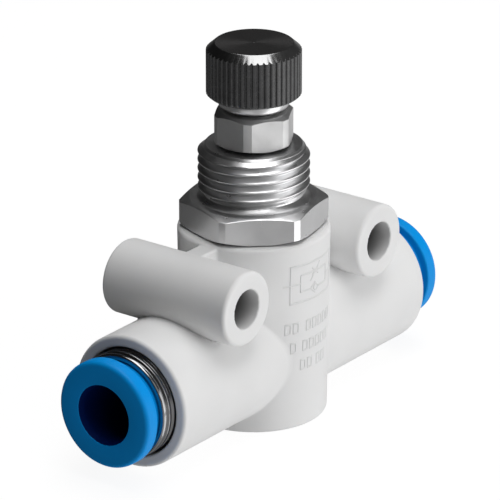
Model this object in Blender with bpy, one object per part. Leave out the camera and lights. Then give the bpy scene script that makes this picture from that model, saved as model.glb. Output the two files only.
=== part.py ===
"""In-line one-way flow control valve for 6 mm push-in tubing, as separate solids.

Frame: +X along the flow axis, +Y along the fixing holes, +Z up the adjusting spindle.
The origin is the middle of the flat underside of the housing.
Turned pieces are drawn as (radius, height) profiles round their own local Z axis.
"""
import math

import bmesh
import bpy
from mathutils import Vector

MM = 0.001
TURN = 2 * math.pi

# Facets round a full turn, and along a rounded corner
FACETS_LARGE = 48
FACETS_MEDIUM = 32
FACETS_SMALL = 24
FACETS_SEAL = 20
ARC_STEPS = 2
SHARP_ANGLE = math.radians(35)
SAME_POINT = 0.001 * MM

# Turn of each cutter and joined form, so that its facet edges don't meet those of its piece
CLOCKING = math.radians(2.3)

# Gaps between neighbouring pieces
REST_GAP = 0.3 * MM
FIT_GAP = 0.1 * MM
RUNNING_GAP = 0.08 * MM

# Housing: a drafted upright cylinder with a tube through it and two fixing bosses
HOUSING_HEIGHT = 21.1 * MM
HOUSING_RADIUS_FOOT = 7.9 * MM
HOUSING_RADIUS_RIM = 8.2 * MM
HOUSING_FOOT_ROUND = 0.4 * MM
HOUSING_RIM_ROUND = 0.45 * MM
TUBE_AXIS_HEIGHT = 7.9 * MM
TUBE_RADIUS = 7.3 * MM
TUBE_HALF_LENGTH = 21.75 * MM
TUBE_END_ROUND = 0.4 * MM
BOSS_OFFSET = 11.93 * MM
BOSS_HEIGHT = 17.06 * MM
BOSS_RADIUS = 4.07 * MM
BOSS_FRONT = 8.0 * MM
BOSS_BACK = 8.2 * MM
BOSS_ROUND = 0.45 * MM
BOSS_HOLE_RADIUS = 2.14 * MM
WEB_WIDTH = 2.3 * MM
WEB_TOP = 20.95 * MM
WEB_BOTTOM = 14.0 * MM
WEB_INNER = 7.0 * MM

# Upright valve bore in the housing
BORE_RADIUS = 6.0 * MM
BORE_STEP_HEIGHT = 14.3 * MM
CHAMBER_RADIUS = 4.6 * MM
CHAMBER_FLOOR = 2.2 * MM
OVERCUT = 1.0 * MM

# Stepped bore of each tube port, by distance from the valve's centre
SLEEVE_POCKET_RADIUS = 6.05 * MM
SLEEVE_POCKET_END = 15.7 * MM
SEAL_POCKET_RADIUS = 5.55 * MM
SEAL_POCKET_END = 12.6 * MM
TUBE_BORE_RADIUS = 3.1 * MM
TUBE_STOP = 9.2 * MM
PASSAGE_RADIUS = 2.6 * MM
PASSAGE_CHORD = 1.0 * MM
PASSAGE_INNER_END = 3.0 * MM
PASSAGE_STEPS = 10

# Bonnet: hexagon, panel thread and the cartridge below them
HEX_ACROSS_FLATS = 14.2 * MM
HEX_CORNER_RADIUS = 7.98 * MM
HEX_ANGLE = math.radians(11.8)
HEX_BOTTOM = 21.3 * MM
HEX_FLATS_START = 21.65 * MM
HEX_FLATS_END = 23.95 * MM
HEX_TOP = 24.3 * MM
HEX_TOP_RADIUS = 6.9 * MM
HEX_FOOT_RADIUS = 7.2 * MM
NECK_FOOT_RADIUS = 6.36 * MM
NECK_FOOT_HEIGHT = 24.1 * MM
NECK_FILLET_RADIUS = 5.6 * MM
NECK_FILLET_HEIGHT = 24.6 * MM
NECK_HEIGHT = 25.0 * MM
THREAD_CORE_RADIUS = 5.39 * MM
THREAD_CREST_RADIUS = 6.0 * MM
THREAD_PITCH = 1.0 * MM
THREAD_START = 25.16 * MM
THREAD_TURNS = 4.65
THREAD_STEPS = 24
THREAD_EMBED = 0.1 * MM
THREAD_FADE_STEPS = 6
THREAD_FLANK = math.radians(30)
BONNET_CHAMFER_START = 29.9 * MM
BONNET_TOP = 30.3 * MM
BONNET_TOP_RADIUS = 5.2 * MM
SHANK_RADIUS = BORE_RADIUS - REST_GAP
SHANK_BOTTOM = BORE_STEP_HEIGHT + REST_GAP
SHANK_GROOVE_RADIUS = 4.55 * MM
SHANK_GROOVE_BOTTOM = 16.6 * MM
SHANK_GROOVE_TOP = 18.2 * MM
CARTRIDGE_RADIUS = 3.9 * MM
CARTRIDGE_SHOULDER = 8.8 * MM
NOSE_RADIUS = 3.4 * MM
NOSE_BOTTOM = 6.8 * MM
CAVITY_RADIUS = 2.6 * MM
CAVITY_TOP = 21.5 * MM
SPINDLE_BORE_RADIUS = 2.5 * MM
SPINDLE_BORE_CHAMFER = 0.3 * MM
WINDOW_RADIUS = 1.2 * MM
WINDOW_HEIGHT = 10.4 * MM

# Seals round the bonnet and the spindle
BONNET_RING_CENTRE_RADIUS = 5.29 * MM
BONNET_RING_SECTION_RADIUS = 0.63 * MM
SPINDLE_RING_CENTRE_RADIUS = 2.1 * MM
SPINDLE_RING_SECTION_RADIUS = 0.45 * MM
RING_SECTION_FACETS = 8

# Valve seat pressed into the bonnet's nose
SEAT_FLANGE_RADIUS = 3.9 * MM
SEAT_BOTTOM = 6.2 * MM
SEAT_FLANGE_TOP = NOSE_BOTTOM - FIT_GAP
SEAT_TOP = 8.5 * MM
SEAT_RADIUS = CAVITY_RADIUS - FIT_GAP
SEAT_ORIFICE_RADIUS = 1.5 * MM
SEAT_CONE_BOTTOM = 7.9 * MM
SEAT_CONE_RADIUS = 2.05 * MM

# Check seal: a cup whose lip points down and closes against the chamber wall
CUP_INNER_RADIUS = NOSE_RADIUS + FIT_GAP
CUP_TOP = 8.65 * MM
CUP_WEB_BOTTOM = 8.0 * MM
CUP_BOTTOM = 6.85 * MM
CUP_SLEEVE_RADIUS = 3.8 * MM
CUP_OUTER_RADIUS = 4.25 * MM
CUP_LIP_RADIUS = 4.5 * MM
CUP_LIP_THICKNESS = 0.3 * MM

# Spindle with the regulating needle
NEEDLE_TIP_HEIGHT = 4.4 * MM
NEEDLE_TIP_RADIUS = 0.8 * MM
NEEDLE_CONE_HEIGHT = 8.0 * MM
NEEDLE_CONE_RADIUS = 1.4 * MM
NEEDLE_STEM_HEIGHT = 8.5 * MM
NEEDLE_STEM_RADIUS = 1.85 * MM
LAND_BOTTOM = 12.3 * MM
LAND_START = 12.6 * MM
GROOVE_BOTTOM = 12.9 * MM
GROOVE_TOP = 14.3 * MM
GROOVE_RADIUS = 1.6 * MM
COLLAR_RADIUS = CAVITY_RADIUS - RUNNING_GAP
COLLAR_TOP = 17.0 * MM
SPINDLE_RADIUS = SPINDLE_BORE_RADIUS - RUNNING_GAP
SPINDLE_SHOULDER = 34.3 * MM
SPINDLE_SPIGOT_RADIUS = 2.0 * MM
SPINDLE_TOP = 39.6 * MM
SPINDLE_CHAMFER = 0.2 * MM

# Knob and the bright hub inside it
HUB_BOTTOM = 34.5 * MM
HUB_RADIUS = 3.8 * MM
HUB_ROUND = 0.5 * MM
HUB_SPIGOT_RADIUS = 3.2 * MM
HUB_SPIGOT_START = 35.45 * MM
HUB_TOP = 39.8 * MM
KNOB_BOTTOM = 35.75 * MM
KNOB_TOP = 41.6 * MM
KNOB_CHAMFER_START = 40.85 * MM
KNOB_TOP_RADIUS = 4.2 * MM
KNOB_FOOT_CHAMFER = 0.25 * MM
KNOB_RADIUS = 5.08 * MM
KNURL_DEPTH = 0.18 * MM
KNURL_TEETH = 48
KNOB_BORE_TOP = 40.1 * MM

# Lock nut
NUT_ACROSS_FLATS = 7.95 * MM
NUT_CORNER_RADIUS = 4.35 * MM
NUT_ANGLE = math.radians(27.9)
NUT_BOTTOM = 30.55 * MM
NUT_TOP = 34.15 * MM
NUT_TOP_RADIUS = 3.65 * MM
NUT_FLATS_START = 30.75 * MM
NUT_FLATS_END = 33.83 * MM

# Release ring, by distance from the valve's centre
RELEASE_FRONT = 26.2 * MM
RELEASE_BACK = 24.48 * MM
RELEASE_RADIUS = 5.89 * MM
RELEASE_FRONT_ROUND = 0.5 * MM
RELEASE_MOUTH_RADIUS = 3.35 * MM
RELEASE_MOUTH_DEPTH = 0.7 * MM
RELEASE_MOUTH_ROUND = 0.1 * MM
RELEASE_NECK_RADIUS = 5.0 * MM
RELEASE_BEAD_RADIUS = 5.2 * MM
RELEASE_BEAD_START = 21.8 * MM
RELEASE_BEAD_END = 22.5 * MM
RELEASE_COLLAR_RADIUS = 4.4 * MM
RELEASE_COLLAR_START = 21.2 * MM
RELEASE_NOSE_START = 17.9 * MM
RELEASE_NOSE_END = 16.7 * MM
RELEASE_NOSE_RADIUS = 3.6 * MM

# Retaining sleeve, grab ring, support ring and seal behind the release ring
SLEEVE_RADIUS = 5.8 * MM
SLEEVE_FRONT = 23.3 * MM
SLEEVE_FRONT_ROUND = 0.45 * MM
SLEEVE_BACK = 16.45 * MM
SLEEVE_LIP_RADIUS = 5.15 * MM
SLEEVE_LIP_BACK = 22.7 * MM
SLEEVE_INNER_RADIUS = 5.3 * MM
GRAB_OUTER_RADIUS = 5.75 * MM
GRAB_RIM_RADIUS = 4.7 * MM
GRAB_RIM_HEIGHT = 16.15 * MM
GRAB_THICKNESS = 0.2 * MM
GRAB_TIP_RADIUS = 2.98 * MM
GRAB_TIP_HEIGHT = 15.1 * MM
GRAB_SLOTS = 10
GRAB_SLOT_WIDTH = 0.5 * MM
SUPPORT_RADIUS = SEAL_POCKET_RADIUS - FIT_GAP
SUPPORT_BACK = 14.15 * MM
SUPPORT_FRONT = 15.6 * MM
SUPPORT_CONE_START = 14.6 * MM
SUPPORT_CONE_RADIUS = 4.9 * MM
SEAL_BACK = 12.75 * MM
SEAL_FRONT = 14.0 * MM
SEAL_INNER_RADIUS = 2.98 * MM
SEAL_ROUND = 0.3 * MM


def clear_scene():
    """Remove every object that is already in the file."""
    for old in list(bpy.data.objects):
        bpy.data.objects.remove(old, do_unlink=True)


def make_material(name, colour, roughness, metallic):
    """Make a Principled material of one colour."""
    material = bpy.data.materials.new(name)
    material.use_nodes = True
    shader = material.node_tree.nodes["Principled BSDF"]
    shader.inputs["Base Color"].default_value = (*colour, 1.0)
    shader.inputs["Roughness"].default_value = roughness
    shader.inputs["Metallic"].default_value = metallic
    return material


def make_empty(name, location, rotation=(0, 0, 0)):
    """Place an empty that carries the pieces on one axis."""
    empty = bpy.data.objects.new(name, None)
    bpy.context.scene.collection.objects.link(empty)
    empty.location = location
    empty.rotation_euler = rotation
    return empty


def place(name, mesh, material=None, parent=None, clocking=0.0):
    """Put a mesh in the scene as a smooth-shaded piece, or as a hidden cutter without a material."""
    piece = bpy.data.objects.new(name, mesh)
    bpy.context.scene.collection.objects.link(piece)
    mesh.shade_smooth()
    mesh.set_sharp_from_angle(angle=SHARP_ANGLE)
    if material:
        mesh.materials.clear()
        mesh.materials.append(material)
    else:
        piece.hide_render = True
        piece.display_type = "WIRE"
    piece.parent = parent
    piece.rotation_euler.z = clocking
    return piece


def finish_mesh(name, shape):
    """Weld a bmesh, face it outward and turn it into a mesh."""
    bmesh.ops.remove_doubles(shape, verts=shape.verts, dist=SAME_POINT)
    bmesh.ops.recalc_face_normals(shape, faces=shape.faces)
    mesh = bpy.data.meshes.new(name)
    shape.to_mesh(mesh)
    shape.free()
    return mesh


def rounded(corners, closed=True):
    """Turn (radius, height, rounding) corners into profile points, with an arc at each rounding."""
    points = []
    for index, (radius, height, rounding) in enumerate(corners):
        corner = Vector((radius, height))
        is_end = index in (0, len(corners) - 1)
        if not rounding or (is_end and not closed):
            points.append(corner)
            continue
        before = Vector(corners[index - 1][:2]) - corner
        after = Vector(corners[(index + 1) % len(corners)][:2]) - corner
        half_angle = before.angle(after) / 2
        bisector = (before.normalized() + after.normalized()).normalized()
        centre = corner + bisector * rounding / math.sin(half_angle)
        reach = rounding / math.tan(half_angle)
        first = corner + before.normalized() * reach - centre
        last = corner + after.normalized() * reach - centre
        sweep = first.angle_signed(last)
        for step in range(ARC_STEPS + 1):
            turn = -sweep * step / ARC_STEPS
            spoke = Vector((
                first.x * math.cos(turn) - first.y * math.sin(turn),
                first.x * math.sin(turn) + first.y * math.cos(turn),
            ))
            points.append(centre + spoke)
    return points


def turned(name, points, facets, closed=True):
    """Spin a profile round local Z. An open profile starts and ends on the axis."""
    shape = bmesh.new()
    corners = [shape.verts.new((radius, 0, height)) for radius, height in points]
    edges = [shape.edges.new(pair) for pair in zip(corners, corners[1:])]
    if closed:
        edges.append(shape.edges.new((corners[-1], corners[0])))
    bmesh.ops.spin(
        shape,
        geom=corners + edges,
        cent=(0, 0, 0),
        axis=(0, 0, 1),
        angle=TURN,
        steps=facets,
        use_merge=True,
    )
    return finish_mesh(name, shape)


def cylinder(name, radius, start, end, facets, rounding=0.0):
    """Turn a plain cylinder along local Z, with rounded rims where asked."""
    corners = [(0, start, 0), (radius, start, rounding), (radius, end, rounding), (0, end, 0)]
    return turned(name, rounded(corners, closed=False), facets, closed=False)


def ring(name, centre_radius, section_radius, height):
    """Turn an O-ring of round section."""
    points = []
    for step in range(RING_SECTION_FACETS):
        angle = TURN * step / RING_SECTION_FACETS
        radius = centre_radius + section_radius * math.cos(angle)
        points.append((radius, height + section_radius * math.sin(angle)))
    return turned(name, points, FACETS_SEAL)


def stacked(name, rings):
    """Skin a stack of equal point loops and cap both ends."""
    shape = bmesh.new()
    loops = [[shape.verts.new(point) for point in loop] for loop in rings]
    for lower, upper in zip(loops, loops[1:]):
        for index in range(len(lower)):
            after = (index + 1) % len(lower)
            shape.faces.new((lower[index], lower[after], upper[after], upper[index]))
    shape.faces.new(reversed(loops[0]))
    shape.faces.new(loops[-1])
    return finish_mesh(name, shape)


def prism(name, outline, start, end):
    """Extrude an outline along local Z."""
    return stacked(name, [[(x, y, height) for x, y in outline] for height in (start, end)])


def hexagon(across_flats, angle):
    """Corners of a hexagon, with one corner at the angle."""
    radius = across_flats / 2 / math.cos(TURN / 12)
    turns = [angle + TURN * corner / 6 for corner in range(6)]
    return [(radius * math.cos(turn), radius * math.sin(turn)) for turn in turns]


def box(name, low, high):
    """Make a box between two corners."""
    outline = [(low[0], low[1]), (high[0], low[1]), (high[0], high[1]), (low[0], high[1])]
    return prism(name, outline, low[2], high[2])


def thread_ridge(name):
    """Sweep the panel thread's ridge, right-handed, fading into the core at both ends."""
    shape = bmesh.new()
    foot_radius = THREAD_CORE_RADIUS - THREAD_EMBED
    half_crest = THREAD_PITCH / 16
    count = round(THREAD_TURNS * THREAD_STEPS)
    loops = []
    for step in range(count + 1):
        angle = TURN * step / THREAD_STEPS
        fade = min(1, step / THREAD_FADE_STEPS, (count - step) / THREAD_FADE_STEPS)
        crest_radius = foot_radius + THREAD_EMBED / 2
        crest_radius += (THREAD_CREST_RADIUS - crest_radius) * fade
        half_foot = half_crest + (crest_radius - foot_radius) * math.tan(THREAD_FLANK)
        middle = THREAD_START + THREAD_PITCH * step / THREAD_STEPS
        section = [
            (foot_radius, middle - half_foot),
            (crest_radius, middle - half_crest),
            (crest_radius, middle + half_crest),
            (foot_radius, middle + half_foot),
        ]
        spoke = Vector((math.cos(angle), math.sin(angle), 0))
        loops.append([shape.verts.new(spoke * r + Vector((0, 0, z))) for r, z in section])
    for lower, upper in zip(loops, loops[1:]):
        for index in range(4):
            after = (index + 1) % 4
            shape.faces.new((lower[index], lower[after], upper[after], upper[index]))
    shape.faces.new(loops[0])
    shape.faces.new(loops[-1])
    return finish_mesh(name, shape)


def combine(piece, other, operation):
    """Join, cut or intersect a piece with another object through a Boolean modifier."""
    modifier = piece.modifiers.new(other.name, "BOOLEAN")
    modifier.operation = operation
    modifier.solver = "EXACT"
    modifier.object = other


def make_housing(material, ports):
    """Model the moulded housing with its ports, bosses, webs and inner bores."""
    foot = (HOUSING_RADIUS_FOOT, 0, HOUSING_FOOT_ROUND)
    rim = (HOUSING_RADIUS_RIM, HOUSING_HEIGHT, HOUSING_RIM_ROUND)
    outer = rounded([(0, 0, 0), foot, rim, (0, HOUSING_HEIGHT, 0)], closed=False)
    housing = place("housing", turned("housing", outer, FACETS_LARGE, closed=False), material)

    tube = cylinder(
        "tube_form", TUBE_RADIUS, -TUBE_HALF_LENGTH, TUBE_HALF_LENGTH, FACETS_LARGE, TUBE_END_ROUND
    )
    combine(housing, place("tube_form", tube, parent=ports["left"], clocking=CLOCKING), "UNION")
    boss = cylinder(
        "boss_form", BOSS_RADIUS, -BOSS_BACK, BOSS_FRONT, FACETS_MEDIUM, BOSS_ROUND
    )
    hole_reach = BOSS_BACK + OVERCUT
    hole = cylinder("boss_hole", BOSS_HOLE_RADIUS, -hole_reach, hole_reach, FACETS_SMALL)
    holes = []
    for side, sign in (("left", -1), ("right", 1)):
        axis = make_empty(f"{side}_boss_axis", (sign * BOSS_OFFSET, 0, BOSS_HEIGHT), (TURN / 4, 0, 0))
        combine(housing, place(f"{side}_boss_form", boss, parent=axis), "UNION")
        ends = sorted((sign * WEB_INNER, sign * BOSS_OFFSET))
        low = (ends[0], -WEB_WIDTH / 2, WEB_BOTTOM)
        high = (ends[1], WEB_WIDTH / 2, WEB_TOP)
        combine(housing, place(f"{side}_web_form", box(f"{side}_web", low, high)), "UNION")
        holes.append(place(f"{side}_boss_hole", hole, parent=axis, clocking=CLOCKING))

    bore = turned("valve_bore", [
        (0, CHAMBER_FLOOR),
        (CHAMBER_RADIUS, CHAMBER_FLOOR),
        (CHAMBER_RADIUS, BORE_STEP_HEIGHT),
        (BORE_RADIUS, BORE_STEP_HEIGHT),
        (BORE_RADIUS, HOUSING_HEIGHT + OVERCUT),
        (0, HOUSING_HEIGHT + OVERCUT),
    ], FACETS_MEDIUM, closed=False)
    combine(housing, place("valve_bore", bore, clocking=CLOCKING), "DIFFERENCE")
    port_bore = turned("port_bore", [
        (0, TUBE_STOP),
        (TUBE_BORE_RADIUS, TUBE_STOP),
        (TUBE_BORE_RADIUS, SEAL_POCKET_END),
        (SEAL_POCKET_RADIUS, SEAL_POCKET_END),
        (SEAL_POCKET_RADIUS, SLEEVE_POCKET_END),
        (SLEEVE_POCKET_RADIUS, SLEEVE_POCKET_END),
        (SLEEVE_POCKET_RADIUS, TUBE_HALF_LENGTH + OVERCUT),
        (0, TUBE_HALF_LENGTH + OVERCUT),
    ], FACETS_MEDIUM, closed=False)
    passage = prism("passage", passage_outline(), PASSAGE_INNER_END, TUBE_STOP + OVERCUT)
    for side, axis in ports.items():
        stepped = place(f"{side}_port_bore", port_bore, parent=axis, clocking=CLOCKING / 2)
        combine(housing, stepped, "DIFFERENCE")
        combine(housing, place(f"{side}_passage", passage, parent=axis), "DIFFERENCE")
    for cutter in holes:
        combine(housing, cutter, "DIFFERENCE")


def passage_outline():
    """Half-moon outline: low on the left port, below the seat, and high on the right, above it."""
    half = math.acos(PASSAGE_CHORD / PASSAGE_RADIUS)
    outline = []
    for step in range(PASSAGE_STEPS + 1):
        angle = math.pi - half + 2 * half * step / PASSAGE_STEPS
        outline.append((PASSAGE_RADIUS * math.cos(angle), PASSAGE_RADIUS * math.sin(angle)))
    return outline


def make_bonnet(material):
    """Model the bonnet: shank and cartridge, hexagon, threaded neck, stepped bore and windows."""
    outer = turned("bonnet", [
        (0, NOSE_BOTTOM),
        (NOSE_RADIUS, NOSE_BOTTOM),
        (NOSE_RADIUS, CARTRIDGE_SHOULDER),
        (CARTRIDGE_RADIUS, CARTRIDGE_SHOULDER),
        (CARTRIDGE_RADIUS, SHANK_BOTTOM),
        (SHANK_RADIUS, SHANK_BOTTOM),
        (SHANK_RADIUS, SHANK_GROOVE_BOTTOM),
        (SHANK_GROOVE_RADIUS, SHANK_GROOVE_BOTTOM),
        (SHANK_GROOVE_RADIUS, SHANK_GROOVE_TOP),
        (SHANK_RADIUS, SHANK_GROOVE_TOP),
        (SHANK_RADIUS, HEX_FLATS_START),
        (NECK_FOOT_RADIUS, NECK_FOOT_HEIGHT),
        (NECK_FILLET_RADIUS, NECK_FILLET_HEIGHT),
        (THREAD_CORE_RADIUS, NECK_HEIGHT),
        (THREAD_CORE_RADIUS, BONNET_CHAMFER_START),
        (BONNET_TOP_RADIUS, BONNET_TOP),
        (0, BONNET_TOP),
    ], FACETS_MEDIUM, closed=False)
    bonnet = place("bonnet", outer, material)

    prism_mesh = prism("hex_form", hexagon(HEX_ACROSS_FLATS, HEX_ANGLE), HEX_BOTTOM, HEX_TOP)
    hex_form = place("hex_form", prism_mesh)
    corner_form = turned("hex_corners", [
        (0, HEX_BOTTOM),
        (HEX_FOOT_RADIUS, HEX_BOTTOM),
        (HEX_CORNER_RADIUS, HEX_FLATS_START),
        (HEX_CORNER_RADIUS, HEX_FLATS_END),
        (HEX_TOP_RADIUS, HEX_TOP),
        (0, HEX_TOP),
    ], FACETS_MEDIUM, closed=False)
    combine(hex_form, place("hex_corners", corner_form), "INTERSECT")
    combine(bonnet, hex_form, "UNION")
    combine(bonnet, place("thread_form", thread_ridge("thread_form"), clocking=CLOCKING), "UNION")

    bore = turned("bonnet_bore", [
        (0, NOSE_BOTTOM - OVERCUT),
        (CAVITY_RADIUS, NOSE_BOTTOM - OVERCUT),
        (CAVITY_RADIUS, CAVITY_TOP),
        (SPINDLE_BORE_RADIUS, CAVITY_TOP),
        (SPINDLE_BORE_RADIUS, BONNET_TOP - SPINDLE_BORE_CHAMFER),
        (SPINDLE_BORE_RADIUS + SPINDLE_BORE_CHAMFER, BONNET_TOP),
        (SPINDLE_BORE_RADIUS + SPINDLE_BORE_CHAMFER, BONNET_TOP + OVERCUT),
        (0, BONNET_TOP + OVERCUT),
    ], FACETS_SMALL, closed=False)
    combine(bonnet, place("bonnet_bore", bore, clocking=-CLOCKING), "DIFFERENCE")
    reach = CARTRIDGE_RADIUS + OVERCUT
    window = cylinder("window", WINDOW_RADIUS, -reach, reach, FACETS_SEAL)
    for name, rotation in (("window_x", (0, TURN / 4, 0)), ("window_y", (TURN / 4, 0, 0))):
        axis = make_empty(f"{name}_axis", (0, 0, WINDOW_HEIGHT), rotation)
        combine(bonnet, place(name, window, parent=axis, clocking=CLOCKING), "DIFFERENCE")


def make_cartridge_seals(rubber, brass):
    """Model the bonnet's O-ring, the check seal and the valve seat."""
    groove_middle = (SHANK_GROOVE_BOTTOM + SHANK_GROOVE_TOP) / 2
    o_ring = ring(
        "bonnet_o_ring", BONNET_RING_CENTRE_RADIUS, BONNET_RING_SECTION_RADIUS, groove_middle
    )
    place("bonnet_o_ring", o_ring, rubber)
    cup = turned("check_lip_seal", [
        (CUP_INNER_RADIUS, CUP_TOP),
        (CUP_INNER_RADIUS, CUP_BOTTOM),
        (CUP_SLEEVE_RADIUS, CUP_BOTTOM),
        (CUP_SLEEVE_RADIUS, CUP_WEB_BOTTOM),
        (CUP_LIP_RADIUS - CUP_LIP_THICKNESS, CUP_BOTTOM),
        (CUP_LIP_RADIUS, CUP_BOTTOM),
        (CUP_OUTER_RADIUS, CUP_TOP),
    ], FACETS_SMALL)
    place("check_lip_seal", cup, rubber)
    seat = turned("valve_seat", [
        (SEAT_ORIFICE_RADIUS, SEAT_BOTTOM),
        (SEAT_FLANGE_RADIUS, SEAT_BOTTOM),
        (SEAT_FLANGE_RADIUS, SEAT_FLANGE_TOP),
        (SEAT_RADIUS, SEAT_FLANGE_TOP),
        (SEAT_RADIUS, SEAT_TOP),
        (SEAT_CONE_RADIUS, SEAT_TOP),
        (SEAT_ORIFICE_RADIUS, SEAT_CONE_BOTTOM),
    ], FACETS_SMALL)
    place("valve_seat", seat, brass)


def make_spindle(steel, rubber, axis):
    """Model the spindle with its needle, captive collar, gland and threaded stem."""
    spindle = turned("spindle", [
        (0, NEEDLE_TIP_HEIGHT),
        (NEEDLE_TIP_RADIUS, NEEDLE_TIP_HEIGHT),
        (NEEDLE_CONE_RADIUS, NEEDLE_CONE_HEIGHT),
        (NEEDLE_STEM_RADIUS, NEEDLE_STEM_HEIGHT),
        (NEEDLE_STEM_RADIUS, LAND_BOTTOM),
        (COLLAR_RADIUS, LAND_START),
        (COLLAR_RADIUS, GROOVE_BOTTOM),
        (GROOVE_RADIUS, GROOVE_BOTTOM),
        (GROOVE_RADIUS, GROOVE_TOP),
        (COLLAR_RADIUS, GROOVE_TOP),
        (COLLAR_RADIUS, COLLAR_TOP),
        (SPINDLE_RADIUS, COLLAR_TOP + SPINDLE_CHAMFER),
        (SPINDLE_RADIUS, SPINDLE_SHOULDER - SPINDLE_CHAMFER),
        (SPINDLE_SPIGOT_RADIUS, SPINDLE_SHOULDER),
        (SPINDLE_SPIGOT_RADIUS, SPINDLE_TOP - SPINDLE_CHAMFER),
        (SPINDLE_SPIGOT_RADIUS - SPINDLE_CHAMFER, SPINDLE_TOP),
        (0, SPINDLE_TOP),
    ], FACETS_SMALL, closed=False)
    place("spindle", spindle, steel, axis)
    groove_middle = (GROOVE_BOTTOM + GROOVE_TOP) / 2
    o_ring = ring(
        "spindle_o_ring", SPINDLE_RING_CENTRE_RADIUS, SPINDLE_RING_SECTION_RADIUS, groove_middle
    )
    place("spindle_o_ring", o_ring, rubber, axis)


def make_knob(steel, black, axis):
    """Model the bright hub and the straight-knurled knob pressed over it."""
    hub_bore = SPINDLE_SPIGOT_RADIUS + FIT_GAP
    hub = turned("knob_hub", rounded([
        (hub_bore, HUB_BOTTOM, 0),
        (HUB_RADIUS, HUB_BOTTOM, HUB_ROUND),
        (HUB_RADIUS, HUB_SPIGOT_START, 0),
        (HUB_SPIGOT_RADIUS, HUB_SPIGOT_START, 0),
        (HUB_SPIGOT_RADIUS, HUB_TOP, 0),
        (hub_bore, HUB_TOP, 0),
    ]), FACETS_SMALL)
    place("knob_hub", hub, steel, axis)

    levels = (
        (KNOB_BOTTOM, KNOB_RADIUS - KNOB_FOOT_CHAMFER),
        (KNOB_BOTTOM + KNOB_FOOT_CHAMFER, KNOB_RADIUS),
        (KNOB_CHAMFER_START, KNOB_RADIUS),
        (KNOB_TOP, KNOB_TOP_RADIUS),
    )
    rings = []
    for height, cap_radius in levels:
        loop = []
        for step in range(2 * KNURL_TEETH):
            tooth_radius = KNOB_RADIUS - KNURL_DEPTH * (step % 2)
            radius = min(tooth_radius, cap_radius)
            angle = TURN * step / (2 * KNURL_TEETH)
            loop.append((radius * math.cos(angle), radius * math.sin(angle), height))
        rings.append(loop)
    knob = place("knob", stacked("knob", rings), black, axis)
    bore_radius = HUB_SPIGOT_RADIUS + FIT_GAP
    bore = cylinder("knob_bore", bore_radius, KNOB_BOTTOM - OVERCUT, KNOB_BORE_TOP, FACETS_SMALL)
    combine(knob, place("knob_bore", bore, parent=axis, clocking=CLOCKING), "DIFFERENCE")


def make_lock_nut(material, axis):
    """Model the lock nut with turned corners and a plain running bore."""
    mesh = prism("lock_nut", hexagon(NUT_ACROSS_FLATS, NUT_ANGLE), NUT_BOTTOM, NUT_TOP)
    nut = place("lock_nut", mesh, material, axis)
    corner_form = turned("nut_corners", [
        (0, NUT_BOTTOM),
        (NUT_ACROSS_FLATS / 2, NUT_BOTTOM),
        (NUT_CORNER_RADIUS, NUT_FLATS_START),
        (NUT_CORNER_RADIUS, NUT_FLATS_END),
        (NUT_TOP_RADIUS, NUT_TOP),
        (0, NUT_TOP),
    ], FACETS_MEDIUM, closed=False)
    combine(nut, place("nut_corners", corner_form, parent=axis), "INTERSECT")
    reach = (NUT_BOTTOM - OVERCUT, NUT_TOP + OVERCUT)
    bore = cylinder("nut_bore", SPINDLE_BORE_RADIUS, *reach, FACETS_SMALL)
    combine(nut, place("nut_bore", bore, parent=axis, clocking=CLOCKING), "DIFFERENCE")


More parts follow.
